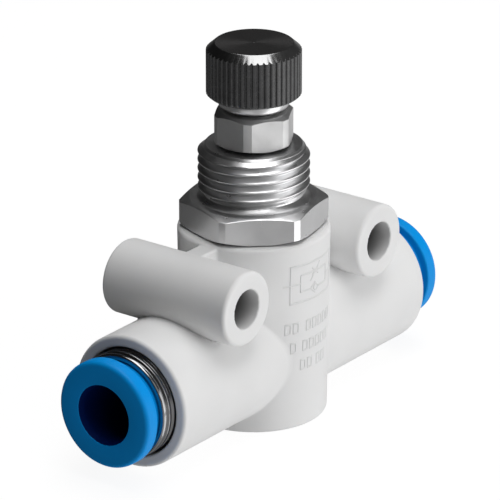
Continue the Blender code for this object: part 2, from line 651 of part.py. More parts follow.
def port_meshes():
    """Build the meshes that both tube ports share."""
    release = turned("release_ring", rounded([
        (TUBE_BORE_RADIUS, RELEASE_NOSE_END, 0),
        (TUBE_BORE_RADIUS, RELEASE_FRONT - RELEASE_MOUTH_DEPTH, 0),
        (RELEASE_MOUTH_RADIUS, RELEASE_FRONT, RELEASE_MOUTH_ROUND),
        (RELEASE_RADIUS, RELEASE_FRONT, RELEASE_FRONT_ROUND),
        (RELEASE_RADIUS, RELEASE_BACK, 0),
        (RELEASE_NECK_RADIUS, RELEASE_BACK, 0),
        (RELEASE_NECK_RADIUS, RELEASE_BEAD_END, 0),
        (RELEASE_BEAD_RADIUS, RELEASE_BEAD_END, 0),
        (RELEASE_BEAD_RADIUS, RELEASE_BEAD_START, 0),
        (RELEASE_COLLAR_RADIUS, RELEASE_COLLAR_START, 0),
        (RELEASE_COLLAR_RADIUS, RELEASE_NOSE_START, 0),
        (RELEASE_NOSE_RADIUS, RELEASE_NOSE_END, 0),
    ]), FACETS_MEDIUM)
    sleeve = turned("retaining_sleeve", rounded([
        (SLEEVE_INNER_RADIUS, SLEEVE_BACK, 0),
        (SLEEVE_INNER_RADIUS, SLEEVE_LIP_BACK, 0),
        (SLEEVE_LIP_RADIUS, SLEEVE_LIP_BACK, 0),
        (SLEEVE_LIP_RADIUS, SLEEVE_FRONT, 0),
        (SLEEVE_RADIUS, SLEEVE_FRONT, SLEEVE_FRONT_ROUND),
        (SLEEVE_RADIUS, SLEEVE_BACK, 0),
    ]), FACETS_MEDIUM)
    grab = turned("grab_ring", [
        (GRAB_OUTER_RADIUS, GRAB_RIM_HEIGHT),
        (GRAB_OUTER_RADIUS, GRAB_RIM_HEIGHT - GRAB_THICKNESS),
        (GRAB_RIM_RADIUS, GRAB_RIM_HEIGHT - GRAB_THICKNESS),
        (GRAB_TIP_RADIUS, GRAB_TIP_HEIGHT - GRAB_THICKNESS),
        (GRAB_TIP_RADIUS, GRAB_TIP_HEIGHT),
        (GRAB_RIM_RADIUS, GRAB_RIM_HEIGHT),
    ], FACETS_SMALL)
    support = turned("support_ring", [
        (TUBE_BORE_RADIUS, SUPPORT_BACK),
        (SUPPORT_RADIUS, SUPPORT_BACK),
        (SUPPORT_RADIUS, SUPPORT_FRONT),
        (SUPPORT_CONE_RADIUS, SUPPORT_FRONT),
        (TUBE_BORE_RADIUS, SUPPORT_CONE_START),
    ], FACETS_SMALL)
    seal = turned("tube_seal", rounded([
        (SEAL_INNER_RADIUS, SEAL_BACK, 0),
        (SUPPORT_RADIUS, SEAL_BACK, 0),
        (SUPPORT_RADIUS, SEAL_FRONT, 0),
        (SEAL_INNER_RADIUS, SEAL_FRONT, SEAL_ROUND),
    ]), FACETS_SEAL)
    return {
        "release_ring": release,
        "retaining_sleeve": sleeve,
        "grab_ring": grab,
        "support_ring": support,
        "tube_seal": seal,
    }


def grab_slots():
    """Slots that split the grab ring into teeth, as one cutter of separate bars."""
    shape = bmesh.new()
    half_width = GRAB_SLOT_WIDTH / 2
    start = GRAB_TIP_RADIUS - OVERCUT
    ends = (
        (start, -half_width),
        (GRAB_RIM_RADIUS, -half_width),
        (GRAB_RIM_RADIUS, half_width),
        (start, half_width),
    )
    low = GRAB_TIP_HEIGHT - OVERCUT
    high = GRAB_RIM_HEIGHT + OVERCUT
    for slot in range(GRAB_SLOTS):
        angle = TURN * (slot + 0.5) / GRAB_SLOTS
        along = Vector((math.cos(angle), math.sin(angle), 0))
        across = Vector((-math.sin(angle), math.cos(angle), 0))
        outline = [along * reach + across * sideways for reach, sideways in ends]
        bottom = [shape.verts.new(point + Vector((0, 0, low))) for point in outline]
        top = [shape.verts.new(point + Vector((0, 0, high))) for point in outline]
        shape.faces.new(reversed(bottom))
        shape.faces.new(top)
        for index in range(4):
            after = (index + 1) % 4
            shape.faces.new((bottom[index], bottom[after], top[after], top[index]))
    return finish_mesh("grab_slots", shape)


def make_ports(ports, materials):
    """Place the push-in connection's pieces on both ports."""
    meshes = port_meshes()
    slots = grab_slots()
    for side, axis in ports.items():
        for kind, mesh in meshes.items():
            piece = place(f"{side}_{kind}", mesh, materials[kind], axis)
            if kind == "grab_ring":
                combine(piece, place(f"{side}_grab_slots", slots, parent=axis), "DIFFERENCE")


def main():
    """Build the whole valve."""
    clear_scene()
    white = make_material("white_plastic", (0.80, 0.80, 0.80), 0.45, 0.0)
    nickel = make_material("nickel", (0.65, 0.65, 0.65), 0.25, 1.0)
    black = make_material("black_anodised", (0.045, 0.045, 0.046), 0.35, 0.6)
    blue = make_material("blue_plastic", (0.0, 0.27, 0.78), 0.4, 0.0)
    stainless = make_material("stainless", (0.55, 0.55, 0.56), 0.3, 1.0)
    brass = make_material("brass", (0.65, 0.45, 0.18), 0.3, 1.0)
    rubber = make_material("rubber", (0.02, 0.02, 0.02), 0.7, 0.0)
    natural = make_material("natural_plastic", (0.72, 0.70, 0.64), 0.5, 0.0)

    centre = (0, 0, TUBE_AXIS_HEIGHT)
    ports = {
        "left": make_empty("left_port_axis", centre, (0, -TURN / 4, 0)),
        "right": make_empty("right_port_axis", centre, (0, TURN / 4, 0)),
    }
    spindle_axis = make_empty("spindle_axis", (0, 0, 0))
    make_housing(white, ports)
    make_bonnet(nickel)
    make_cartridge_seals(rubber, brass)
    make_spindle(nickel, rubber, spindle_axis)
    make_knob(nickel, black, spindle_axis)
    make_lock_nut(nickel, spindle_axis)
    make_ports(ports, {
        "release_ring": blue,
        "retaining_sleeve": nickel,
        "grab_ring": stainless,
        "support_ring": natural,
        "tube_seal": rubber,
    })


main()
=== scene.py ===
"""The looks of the in-line flow control valve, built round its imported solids.

Lengths are in millimetres and turned into metres when a mesh is made. +X is the flow axis,
+Y runs along the fixing holes and +Z up the spindle, from the middle of the housing's underside.
"""
import math

import bmesh
import bpy
import numpy as np
from mathutils import Matrix, Vector


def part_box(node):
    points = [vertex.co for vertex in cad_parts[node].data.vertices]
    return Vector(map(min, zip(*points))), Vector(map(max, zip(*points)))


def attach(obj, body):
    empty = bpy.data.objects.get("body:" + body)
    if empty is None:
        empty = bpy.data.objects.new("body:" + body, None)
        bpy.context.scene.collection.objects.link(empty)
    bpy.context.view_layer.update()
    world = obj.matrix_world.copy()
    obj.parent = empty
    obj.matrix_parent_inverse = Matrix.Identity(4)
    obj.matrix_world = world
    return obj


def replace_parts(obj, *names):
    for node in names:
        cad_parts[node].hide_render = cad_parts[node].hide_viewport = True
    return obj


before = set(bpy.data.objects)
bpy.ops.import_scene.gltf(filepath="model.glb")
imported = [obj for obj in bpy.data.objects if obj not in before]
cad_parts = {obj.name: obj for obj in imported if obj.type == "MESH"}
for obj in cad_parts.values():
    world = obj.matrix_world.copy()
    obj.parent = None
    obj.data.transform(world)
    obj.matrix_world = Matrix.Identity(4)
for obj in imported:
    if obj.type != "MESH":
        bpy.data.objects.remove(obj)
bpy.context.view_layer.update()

MM = 0.001
TURN = 2 * math.pi
WELD = 0.0005 * MM


def node_box(node):
    """A CAD node's lowest and highest corner, in millimetres."""
    low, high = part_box(node)
    return np.array(low) / MM, np.array(high) / MM


# ---------------------------------------------------------------- places from the frame
HOUSING_LOW, HOUSING_HIGH = node_box("housing")
_, BONNET_HIGH = node_box("bonnet")
NUT_LOW, NUT_HIGH = node_box("lock_nut")
HUB_LOW, HUB_HIGH = node_box("knob_hub")
KNOB_LOW, KNOB_HIGH = node_box("knob")
SPINDLE_LOW, SPINDLE_HIGH = node_box("spindle")
RELEASE_LOW, RELEASE_HIGH = node_box("right_release_ring")

TUBE_AXIS = (RELEASE_LOW[2] + RELEASE_HIGH[2]) / 2
BODY_TOP = HOUSING_HIGH[2]
BODY_END = HOUSING_HIGH[0]

# Housing sizes
BODY_FOOT_RADIUS = 7.9
BODY_RIM_RADIUS = 8.2
TUBE_RADIUS = 7.3
BOSS_X = 11.93
BOSS_Z = 17.06
BOSS_RADIUS = 4.07
BOSS_FRONT = -8.0
BOSS_BACK = 8.2
BOSS_HOLE_RADIUS = 2.14
WEB_HALF_WIDTH = 1.15
WEB_TOP = 20.95
VALVE_BORE_RADIUS = 6.0
VALVE_BORE_STEP = 14.3
CHAMBER_RADIUS = 4.6
CHAMBER_FLOOR = 2.2
SLEEVE_POCKET_RADIUS = 6.05
SLEEVE_POCKET_END = 15.7
SEAL_POCKET_RADIUS = 5.55
SEAL_POCKET_END = 12.6
TUBE_BORE_RADIUS = 3.1
TUBE_STOP = 9.2
PASSAGE_RADIUS = 2.6
PASSAGE_CHORD = 1.0
EDGE_ROUND = 0.42
WEB_EDGE_ROUND = 0.25
BORE_EDGE_ROUND = 0.2
HOLE_EDGE_ROUND = 0.1
FILLET = 0.15
WEB_FILLET = 0.2
BOSS_FILLET = 0.06
OVERCUT = 2.0
PASSAGE_OVERLAP = 1.0

# How finely the housing's surface is found, and how much of it is kept
FIELD_STEP = 0.2
FIELD_MARGIN = 0.7
SLOPE_NUDGE = 0.004
LEAST_SLOPE = 0.25
LONGEST_MOVE = 0.1
SETTLE_ROUNDS = 4
KEPT_SHARE = 0.45


# ---------------------------------------------------------------- distance fields for the housing
def cylinder_field(radial, along, radius, half_length, rounding):
    """Signed distance to a cylinder with rounded rims."""
    side = radial - (radius - rounding)
    end = np.abs(along) - (half_length - rounding)
    outside = np.hypot(np.maximum(side, 0), np.maximum(end, 0))
    return outside + np.minimum(np.maximum(side, end), 0) - rounding


def slab_field(value, low, high):
    """Signed distance to the space between two planes."""
    return np.abs(value - (low + high) / 2) - (high - low) / 2


def join(one, other, fillet):
    """Union of two fields with a fillet in the corner between them."""
    corner = np.hypot(np.maximum(fillet - one, 0), np.maximum(fillet - other, 0))
    return np.maximum(fillet, np.minimum(one, other)) - corner


def overlap(one, other, rounding):
    """Intersection of two fields with a rounded edge."""
    corner = np.hypot(np.maximum(rounding + one, 0), np.maximum(rounding + other, 0))
    return np.minimum(-rounding, np.maximum(one, other)) + corner


def outer_field(x, y, z):
    """The housing's outside: upright cylinder, flow tube, bosses and webs."""
    upright = np.hypot(x, y)
    draft = (BODY_RIM_RADIUS - BODY_FOOT_RADIUS) * z / BODY_TOP
    middle = BODY_TOP / 2
    body = cylinder_field(upright - draft, z - middle, BODY_FOOT_RADIUS, middle, EDGE_ROUND)
    flow = np.hypot(y, z - TUBE_AXIS)
    tube = cylinder_field(flow, x, TUBE_RADIUS, BODY_END, EDGE_ROUND)
    field = join(body, tube, FILLET)
    side = np.abs(x) - BOSS_X
    along = y - (BOSS_FRONT + BOSS_BACK) / 2
    half_length = (BOSS_BACK - BOSS_FRONT) / 2
    boss = cylinder_field(np.hypot(side, z - BOSS_Z), along, BOSS_RADIUS, half_length, EDGE_ROUND)
    across = slab_field(y, -WEB_HALF_WIDTH, WEB_HALF_WIDTH)
    web = overlap(across, slab_field(z, TUBE_AXIS, WEB_TOP), WEB_EDGE_ROUND)
    web = overlap(web, slab_field(np.abs(x), 0, BOSS_X), WEB_EDGE_ROUND)
    field = join(field, web, WEB_FILLET)
    return join(field, boss, BOSS_FILLET)


def inner_field(x, y, z):
    """What is hollow in the housing: the valve bore, both ports and their passages."""
    upright = np.hypot(x, y)
    top = BODY_TOP + OVERCUT
    bore = np.maximum(upright - VALVE_BORE_RADIUS, slab_field(z, VALVE_BORE_STEP, top))
    chamber = np.maximum(upright - CHAMBER_RADIUS, slab_field(z, CHAMBER_FLOOR, top))
    hollow = np.minimum(bore, chamber)
    flow = np.hypot(y, z - TUBE_AXIS)
    reach = np.abs(x)
    mouth = BODY_END + OVERCUT
    for radius, start in (
        (SLEEVE_POCKET_RADIUS, SLEEVE_POCKET_END),
        (SEAL_POCKET_RADIUS, SEAL_POCKET_END),
        (TUBE_BORE_RADIUS, TUBE_STOP),
    ):
        hollow = np.minimum(hollow, np.maximum(flow - radius, slab_field(reach, start, mouth)))
    half_moon = np.maximum(flow - PASSAGE_RADIUS, PASSAGE_CHORD - np.sign(x) * (z - TUBE_AXIS))
    start, end = CHAMBER_RADIUS - PASSAGE_OVERLAP, TUBE_STOP + PASSAGE_OVERLAP
    passage = np.maximum(half_moon, slab_field(reach, start, end))
    return np.minimum(hollow, passage)


def housing_field(x, y, z):
    """The whole housing."""
    field = overlap(outer_field(x, y, z), -inner_field(x, y, z), BORE_EDGE_ROUND)
    side = np.hypot(np.abs(x) - BOSS_X, z - BOSS_Z)
    return overlap(field, BOSS_HOLE_RADIUS - side, HOLE_EDGE_ROUND)


def surface_net(field, low, high, step):
    """Corners and four-sided faces of a field's zero surface, one corner for each mixed cell."""
    axes = [np.arange(a, b + step, step) for a, b in zip(low, high)]
    x, y, z = np.meshgrid(*axes, indexing="ij", sparse=True)
    value = np.broadcast_to(field(x, y, z), [len(a) for a in axes])
    inside = value < 0
    cells = [n - 1 for n in value.shape]
    offsets = [(i, j, k) for i in (0, 1) for j in (0, 1) for k in (0, 1)]

    def corner(array, offset):
        return array[tuple(slice(o, o + c) for o, c in zip(offset, cells))]

    count = sum(corner(inside, offset).astype(np.int8) for offset in offsets)
    mixed = (count > 0) & (count < 8)
    index = np.full(cells, -1, np.int64)
    index[mixed] = np.arange(mixed.sum())
    total = np.zeros((mixed.sum(), 3))
    hits = np.zeros(mixed.sum())
    for offset in offsets:
        for axis in range(3):
            if offset[axis]:
                continue
            other = tuple(o + (a == axis) for a, o in enumerate(offset))
            one = corner(value, offset)[mixed]
            two = corner(value, other)[mixed]
            crossed = (one < 0) != (two < 0)
            share = np.where(crossed, one / np.where(crossed, one - two, 1), 0)
            point = np.tile(np.array(offset, float), (len(one), 1))
            point[:, axis] += share
            total += point * crossed[:, None]
            hits += crossed
    where = np.argwhere(mixed)
    corners = np.array(low) + (where + total / hits[:, None]) * step
    faces = []
    for axis in range(3):
        second, third = (axis + 1) % 3, (axis + 2) % 3
        here = [slice(1, -1)] * 3
        here[axis] = slice(0, -1)
        there = list(here)
        there[axis] = slice(1, None)
        start, end = inside[tuple(here)], inside[tuple(there)]
        for flip, crossing in ((False, start & ~end), (True, ~start & end)):
            spot = np.argwhere(crossing)
            for a in (second, third):
                spot[:, a] += 1
            ring = []
            for da, db in ((0, 0), (-1, 0), (-1, -1), (0, -1)):
                cell = spot.copy()
                cell[:, second] += da
                cell[:, third] += db
                ring.append(index[cell[:, 0], cell[:, 1], cell[:, 2]])
            quad = np.stack(ring, 1)
            faces.append(quad[:, ::-1] if flip else quad)
    return corners, np.concatenate(faces)


def slopes(field, points):
    """Gradient of a field at points."""
    result = np.zeros_like(points)
    for axis in range(3):
        ahead, behind = points.copy(), points.copy()
        ahead[:, axis] += SLOPE_NUDGE
        behind[:, axis] -= SLOPE_NUDGE
        result[:, axis] = (field(*ahead.T) - field(*behind.T)) / (2 * SLOPE_NUDGE)
    return result


def settle(field, points, rounds):
    """Move points onto a field's zero surface."""
    for _ in range(rounds):
        slope = slopes(field, points)
        size = np.maximum((slope ** 2).sum(1), LEAST_SLOPE)
        step = field(*points.T)[:, None] * slope / size[:, None]
        points = points - np.clip(step, -LONGEST_MOVE, LONGEST_MOVE)
    return points


def make_object(name, corners, faces):
    """Make a mesh object from corners in millimetres."""
    mesh = bpy.data.meshes.new(name)
    points = [tuple(corner) for corner in np.asarray(corners) * MM]
    mesh.from_pydata(points, [], [list(map(int, face)) for face in faces])
    mesh.validate()
    piece = bpy.data.objects.new(name, mesh)
    bpy.context.scene.collection.objects.link(piece)
    return piece


def settled_normals(piece, field):
    """Shade a piece by its field's own slope."""
    mesh = piece.data
    points = np.zeros(len(mesh.vertices) * 3, np.float32)
    mesh.vertices.foreach_get("co", points)
    normals = slopes(field, points.reshape(-1, 3).astype(float) / MM)
    normals /= np.maximum(np.linalg.norm(normals, axis=1), 1e-9)[:, None]
    mesh.shade_smooth()
    mesh.normals_split_custom_set_from_vertices([tuple(n) for n in normals])


def thin_out(piece, share):
    """Keep a share of the faces, where the surface bends least."""
    modifier = piece.modifiers.new("thin", "DECIMATE")
    modifier.ratio = share
    evaluated = piece.evaluated_get(bpy.context.evaluated_depsgraph_get())
    mesh = bpy.data.meshes.new_from_object(evaluated)
    piece.modifiers.clear()
    piece.data = mesh


def make_housing():
    """The moulded housing as one smooth filleted surface."""
    low = HOUSING_LOW - FIELD_MARGIN
    high = HOUSING_HIGH + FIELD_MARGIN
    corners, faces = surface_net(housing_field, low, high, FIELD_STEP)
    corners = settle(housing_field, corners, SETTLE_ROUNDS)
    piece = make_object("housing_moulding", corners, faces)
    thin_out(piece, KEPT_SHARE)
    settled_normals(piece, housing_field)
    return piece


# ---------------------------------------------------------------- turned and faceted pieces
def rounded(corners, steps=4):
    """Profile points of a closed outline of (radius, height, rounding) corners."""
    points = []
    for number, (radius, height, rounding) in enumerate(corners):
        corner = Vector((radius, height))
        if not rounding:
            points.append((radius, height))
            continue
        before = Vector(corners[number - 1][:2]) - corner
        after = Vector(corners[(number + 1) % len(corners)][:2]) - corner
        half = before.angle(after) / 2
        bisector = (before.normalized() + after.normalized()).normalized()
        centre = corner + bisector * rounding / math.sin(half)
        reach = rounding / math.tan(half)
        first = corner + before.normalized() * reach - centre
        last = corner + after.normalized() * reach - centre
        sweep = first.angle_signed(last)
        for step in range(steps + 1):
            turn = -sweep * step / steps
            c, s = math.cos(turn), math.sin(turn)
            points.append((centre.x + first.x * c - first.y * s, centre.y + first.x * s + first.y * c))
    return points


def even_angles(count):
    """Angles evenly round a turn."""
    return np.arange(count) * TURN / count


def lathe(rows, angles, closed=True):
    """Corners and faces of rows of (radius, height) swept round Z. Either may vary with the angle."""
    columns = len(angles)
    corners = []
    for radius, height in rows:
        r = np.broadcast_to(radius, columns)
        h = np.broadcast_to(height, columns)
        corners.append(np.stack([r * np.cos(angles), r * np.sin(angles), h], 1))
    corners = np.concatenate(corners)
    faces = []
    last = len(rows) if closed else len(rows) - 1
    for row in range(last):
        low, high = row * columns, ((row + 1) % len(rows)) * columns
        for column in range(columns):
            after = (column + 1) % columns
            faces.append((low + column, low + after, high + after, high + column))
    return corners, faces


def weld(piece, sharp_degrees):
    """Merge touching corners, face a piece outward and shade it smooth between sharp edges."""
    shape = bmesh.new()
    shape.from_mesh(piece.data)
    bmesh.ops.remove_doubles(shape, verts=shape.verts, dist=WELD)
    bmesh.ops.dissolve_degenerate(shape, edges=shape.edges, dist=WELD / 10)
    bmesh.ops.recalc_face_normals(shape, faces=shape.faces)
    shape.to_mesh(piece.data)
    shape.free()
    piece.data.shade_smooth()
    piece.data.set_sharp_from_angle(angle=math.radians(sharp_degrees))
    return piece


def turned(name, corners, count=128, sharp_degrees=40):
    """A ring of a rounded profile, turned round Z."""
    points, faces = lathe(rounded(corners), even_angles(count))
    return weld(make_object(name, points, faces), sharp_degrees)


def stitched(name, parts, sharp_degrees):
    """One object from several sets of corners and faces that meet at their rims."""
    corners, faces, start = [], [], 0
    for some_corners, some_faces in parts:
        corners.append(some_corners)
        faces += [tuple(start + index for index in face) for face in some_faces]
        start += len(some_corners)
    return weld(make_object(name, np.concatenate(corners), faces), sharp_degrees)


# One turn of a V thread with rounded crests: (share of the pitch, share of the depth)
THREAD_PROFILE = (
    (0.00, 0.00), (0.05, 0.02), (0.12, 0.16), (0.36, 0.84), (0.43, 0.97),
    (0.5, 1.00), (0.57, 0.97), (0.64, 0.84), (0.88, 0.16), (0.95, 0.02),
)
SAME_HEIGHT = 1e-9


def thread(angles, pitch, core, crest, low, high, phase, run_in):
    """A right-handed V thread between two heights, fading into the core at both ends."""
    depth = crest - core
    columns, points = len(angles), len(THREAD_PROFILE)
    first = math.floor((low - phase) / pitch) - 2
    turns = math.ceil((high - low) / pitch) + 4
    share = (angles / TURN)[None, :]
    rows = []
    for turn in range(turns):
        for along, up in THREAD_PROFILE:
            height = phase + pitch * (first + turn + along + share)
            held = np.clip(height, low, high)
            slope_limit = core + np.minimum(held - low, high - held) * depth / run_in
            radius = np.minimum(core + depth * up, np.maximum(slope_limit, core))
            rows.append(np.stack([radius[0] * np.cos(angles), radius[0] * np.sin(angles), held[0]], 1))
    corners = np.concatenate(rows)
    faces = []
    for row in range(len(rows) - 1):
        for column in range(columns):
            after = (column + 1) % columns
            beyond = points if after == 0 else 0
            if row + 1 + beyond >= len(rows):
                continue
            faces.append((
                row * columns + column,
                (row + beyond) * columns + after,
                (row + 1 + beyond) * columns + after,
                (row + 1) * columns + column,
            ))
    used = []
    for face in faces:
        heights = corners[list(face), 2]
        if heights.max() - heights.min() > SAME_HEIGHT:
            used.append(face)
    return corners, used


CORNER_STEPS = 7
HEX_SMOOTH_DEGREES = 14


def hex_angles(corner_angle, corner_half, flat_steps):
    """Angles round a hexagon: a few over each turned corner, then evenly over each flat."""
    angles = []
    for corner in range(6):
        middle = corner_angle + TURN * corner / 6
        start = middle + corner_half
        end = middle + TURN / 6 - corner_half
        angles += list(np.linspace(middle - corner_half, middle + corner_half, CORNER_STEPS))
        angles += list(np.linspace(start, end, flat_steps))[1:-1]
    return np.array(sorted(angle % TURN for angle in angles))


def hex_radius(angles, across_flats, corner_angle, corner_radius):
    """Radius of a hexagon with turned corners at each angle."""
    from_flat = (angles - corner_angle) % (TURN / 6) - TURN / 12
    return np.minimum(across_flats / 2 / np.cos(from_flat), corner_radius)


# Bonnet sizes
HEX_ACROSS_FLATS = 14.2
HEX_CORNER_RADIUS = 7.98
HEX_ANGLE = math.radians(11.8)
HEX_BOTTOM = 21.3
HEX_FOOT_RADIUS = 7.2
HEX_FOOT_RISE = 0.35
HEX_TOP = 24.3
HEX_TOP_RADIUS = 6.9
HEX_TOP_DROP = 0.35
THREAD_PITCH = 1.0
THREAD_CORE = 5.39
THREAD_CREST = 6.0
THREAD_LOW = 24.95
NECK_FOOT = 6.06
THREAD_HIGH = 30.0
THREAD_PHASE = 0.66
THREAD_RUNOUT = 0.45
BONNET_TOP_RADIUS = 5.15
SPINDLE_BORE_RADIUS = 2.5
CARTRIDGE_RADIUS = 5.7
CARTRIDGE_LOW = 14.6
HEX_FLAT_STEPS = 18


def make_bonnet():
    """Bonnet: hexagon with turned corners, relief, panel thread, and the cartridge below."""
    top = BONNET_HIGH[2]
    corner_half = math.acos(HEX_ACROSS_FLATS / 2 / HEX_CORNER_RADIUS)
    angles = hex_angles(HEX_ANGLE, TURN / 12 - corner_half, HEX_FLAT_STEPS)
    side = hex_radius(angles, HEX_ACROSS_FLATS, HEX_ANGLE, HEX_CORNER_RADIUS)
    top_slope = HEX_TOP_DROP / (HEX_CORNER_RADIUS - HEX_TOP_RADIUS)
    foot_slope = HEX_FOOT_RISE / (HEX_CORNER_RADIUS - HEX_FOOT_RADIUS)
    upper = HEX_TOP - np.maximum(side - HEX_TOP_RADIUS, 0.0) * top_slope
    lower = HEX_BOTTOM + np.maximum(side - HEX_FOOT_RADIUS, 0.0) * foot_slope
    nick = 0.05
    below = [
        (CARTRIDGE_RADIUS, CARTRIDGE_LOW), (CARTRIDGE_RADIUS, 16.6), (4.55, 16.6),
        (4.55, 18.2), (CARTRIDGE_RADIUS, 18.2), (CARTRIDGE_RADIUS, HEX_BOTTOM),
        (np.minimum(side, HEX_FOOT_RADIUS) - nick, HEX_BOTTOM),
        (np.minimum(side, HEX_FOOT_RADIUS), HEX_BOTTOM + nick / 2),
        (side - nick / 2, lower - nick * foot_slope),
        (side, lower + nick),
        (side, upper - nick),
        (side - nick, upper - nick * top_slope),
        (np.minimum(side, HEX_TOP_RADIUS) + nick / 2, HEX_TOP - nick * top_slope),
        (np.minimum(side, HEX_TOP_RADIUS) - nick, HEX_TOP),
        (NECK_FOOT + 0.03, HEX_TOP), (NECK_FOOT - 0.06, HEX_TOP + 0.03),
        (NECK_FOOT - 0.26, HEX_TOP + 0.14), (THREAD_CORE + 0.16, HEX_TOP + 0.36),
        (THREAD_CORE + 0.03, HEX_TOP + 0.52), (THREAD_CORE, THREAD_LOW),
    ]
    above = [
        (THREAD_CORE, THREAD_HIGH), (THREAD_CORE, THREAD_HIGH + 0.05),
        (BONNET_TOP_RADIUS + 0.05, top - 0.03), (BONNET_TOP_RADIUS, top),
        (2.85, top), (2.8, top - 0.03), (SPINDLE_BORE_RADIUS, top - 0.3),
        (SPINDLE_BORE_RADIUS, 21.5), (2.6, 21.5), (2.6, 6.8), (3.4, 6.8), (3.4, 8.8),
        (3.9, 8.8), (3.9, CARTRIDGE_LOW), (CARTRIDGE_RADIUS, CARTRIDGE_LOW),
    ]
    parts = [
        lathe(below, angles, closed=False),
        thread(
            angles, THREAD_PITCH, THREAD_CORE, THREAD_CREST,
            THREAD_LOW, THREAD_HIGH, THREAD_PHASE, THREAD_RUNOUT,
        ),
        lathe(above, angles, closed=False),
    ]
    return stitched("bonnet_turning", parts, HEX_SMOOTH_DEGREES)


# Lock nut sizes
NUT_ACROSS_FLATS = 7.95
NUT_CORNER_RADIUS = 4.35
NUT_ANGLE = math.radians(27.9)
NUT_TOP_RADIUS = 3.65
NUT_TOP_DROP = 0.32
NUT_FOOT_RISE = 0.2
NUT_FLAT_STEPS = 16
NUT_BORE_CHAMFER = 0.25


def make_lock_nut():
    """Lock nut: hexagon with turned top and foot and a chamfered bore."""
    bottom, top = NUT_LOW[2], NUT_HIGH[2]
    corner_half = math.acos(NUT_ACROSS_FLATS / 2 / NUT_CORNER_RADIUS)
    angles = hex_angles(NUT_ANGLE, TURN / 12 - corner_half, NUT_FLAT_STEPS)
    side = hex_radius(angles, NUT_ACROSS_FLATS, NUT_ANGLE, NUT_CORNER_RADIUS)
    foot_radius = NUT_ACROSS_FLATS / 2
    top_slope = NUT_TOP_DROP / (NUT_CORNER_RADIUS - NUT_TOP_RADIUS)
    foot_slope = NUT_FOOT_RISE / (NUT_CORNER_RADIUS - foot_radius)
    upper = top - (side - NUT_TOP_RADIUS) * top_slope
    lower = bottom + (side - foot_radius) * foot_slope
    nick = 0.04
    mouth = SPINDLE_BORE_RADIUS + NUT_BORE_CHAMFER
    rows = [
        (SPINDLE_BORE_RADIUS, bottom + NUT_BORE_CHAMFER), (mouth, bottom),
        (foot_radius - nick, bottom), (side - nick / 2, lower - nick / 4),
        (side, lower + nick), (side, upper - nick), (side - nick, upper - nick * 0.3),
        (NUT_TOP_RADIUS + nick / 2, top - nick / 3), (NUT_TOP_RADIUS - nick, top),
        (mouth, top), (SPINDLE_BORE_RADIUS, top - NUT_BORE_CHAMFER),
    ]
    corners, faces = lathe(rows, angles)
    return weld(make_object("lock_nut_turning", corners, faces), HEX_SMOOTH_DEGREES)


# Knob sizes
KNOB_RADIUS = 5.08
KNOB_TOP_RADIUS = 4.2
KNOB_CHAMFER_DROP = 0.75
KNURL_TEETH = 48
KNURL_DEPTH = 0.18
KNOB_BORE_RADIUS = 3.3
KNOB_BORE_END = 40.1
KNOB_SMOOTH_DEGREES = 30
FACE_GROOVES = 14
DIMPLE_DEPTH = 0.12
# One knurl tooth: (share of the way round it, share of its height)
KNURL_PROFILE = (
    (0.0, 1.0), (0.14, 1.0), (0.26, 0.9), (0.42, 0.06),
    (0.5, 0.0), (0.58, 0.06), (0.74, 0.9), (0.86, 1.0),
)


def make_knob():
    """Knob: straight-knurled cap with a turned, slightly dished top face and a centre dimple."""
    bottom, top = KNOB_LOW[2], KNOB_HIGH[2]
    pitch = TURN / KNURL_TEETH
    teeth = range(KNURL_TEETH)
    angles = np.array([(number + along) * pitch for number in teeth for along, _ in KNURL_PROFILE])
    tooth = np.array([up for _ in teeth for _, up in KNURL_PROFILE])
    side = KNOB_RADIUS - KNURL_DEPTH * (1 - tooth)
    slope = KNOB_CHAMFER_DROP / (KNOB_RADIUS - KNOB_TOP_RADIUS)
    upper = top - (side - KNOB_TOP_RADIUS) * slope
    foot_radius = KNOB_RADIUS - 0.3
    lower = bottom + np.maximum(side - foot_radius, 0) * 0.9
    nick = 0.035
    rows = [
        (KNOB_BORE_RADIUS, bottom + 0.1), (KNOB_BORE_RADIUS + 0.1, bottom),
        (foot_radius - 0.05, bottom),
        (side - nick, lower), (side, lower + nick), (side, upper - nick), (side - nick, upper),
        (KNOB_TOP_RADIUS + 0.05, top - 0.045), (KNOB_TOP_RADIUS, top - 0.012),
        (KNOB_TOP_RADIUS - 0.06, top),
    ]
    for groove in range(FACE_GROOVES):
        radius = (KNOB_TOP_RADIUS - 0.15) * (1 - groove / FACE_GROOVES)
        rows.append((radius, top - 0.004))
        rows.append((radius - 0.14, top - 0.014))
    dimple = top - DIMPLE_DEPTH
    rows += [(0.22, top - 0.01), (0.16, top - 0.06), (0.05, dimple), (0.0, dimple)]
    rows_inside = [
        (0.0, KNOB_BORE_END), (KNOB_BORE_RADIUS, KNOB_BORE_END), (KNOB_BORE_RADIUS, bottom + 0.1),
    ]
    parts = [lathe(rows, angles, closed=False), lathe(rows_inside, angles, closed=False)]
    return stitched("knob_cap", parts, KNOB_SMOOTH_DEGREES)


# Hub sizes
HUB_BORE_RADIUS = 2.1
HUB_RADIUS = 3.8
HUB_ROUND = 0.5
HUB_SPIGOT_RADIUS = 3.2
HUB_SPIGOT_START = 35.45


def make_hub():
    """Bright hub under the knob."""
    bottom, top = HUB_LOW[2], HUB_HIGH[2]
    return turned("knob_hub_turning", [
        (HUB_BORE_RADIUS, bottom, 0.0),
        (2.25, bottom, 0.0),
        (HUB_RADIUS, bottom, HUB_ROUND),
        (HUB_RADIUS, HUB_SPIGOT_START, 0.08),
        (HUB_SPIGOT_RADIUS, HUB_SPIGOT_START, 0.0),
        (HUB_SPIGOT_RADIUS, top, 0.1),
        (HUB_BORE_RADIUS, top, 0.0),
    ])


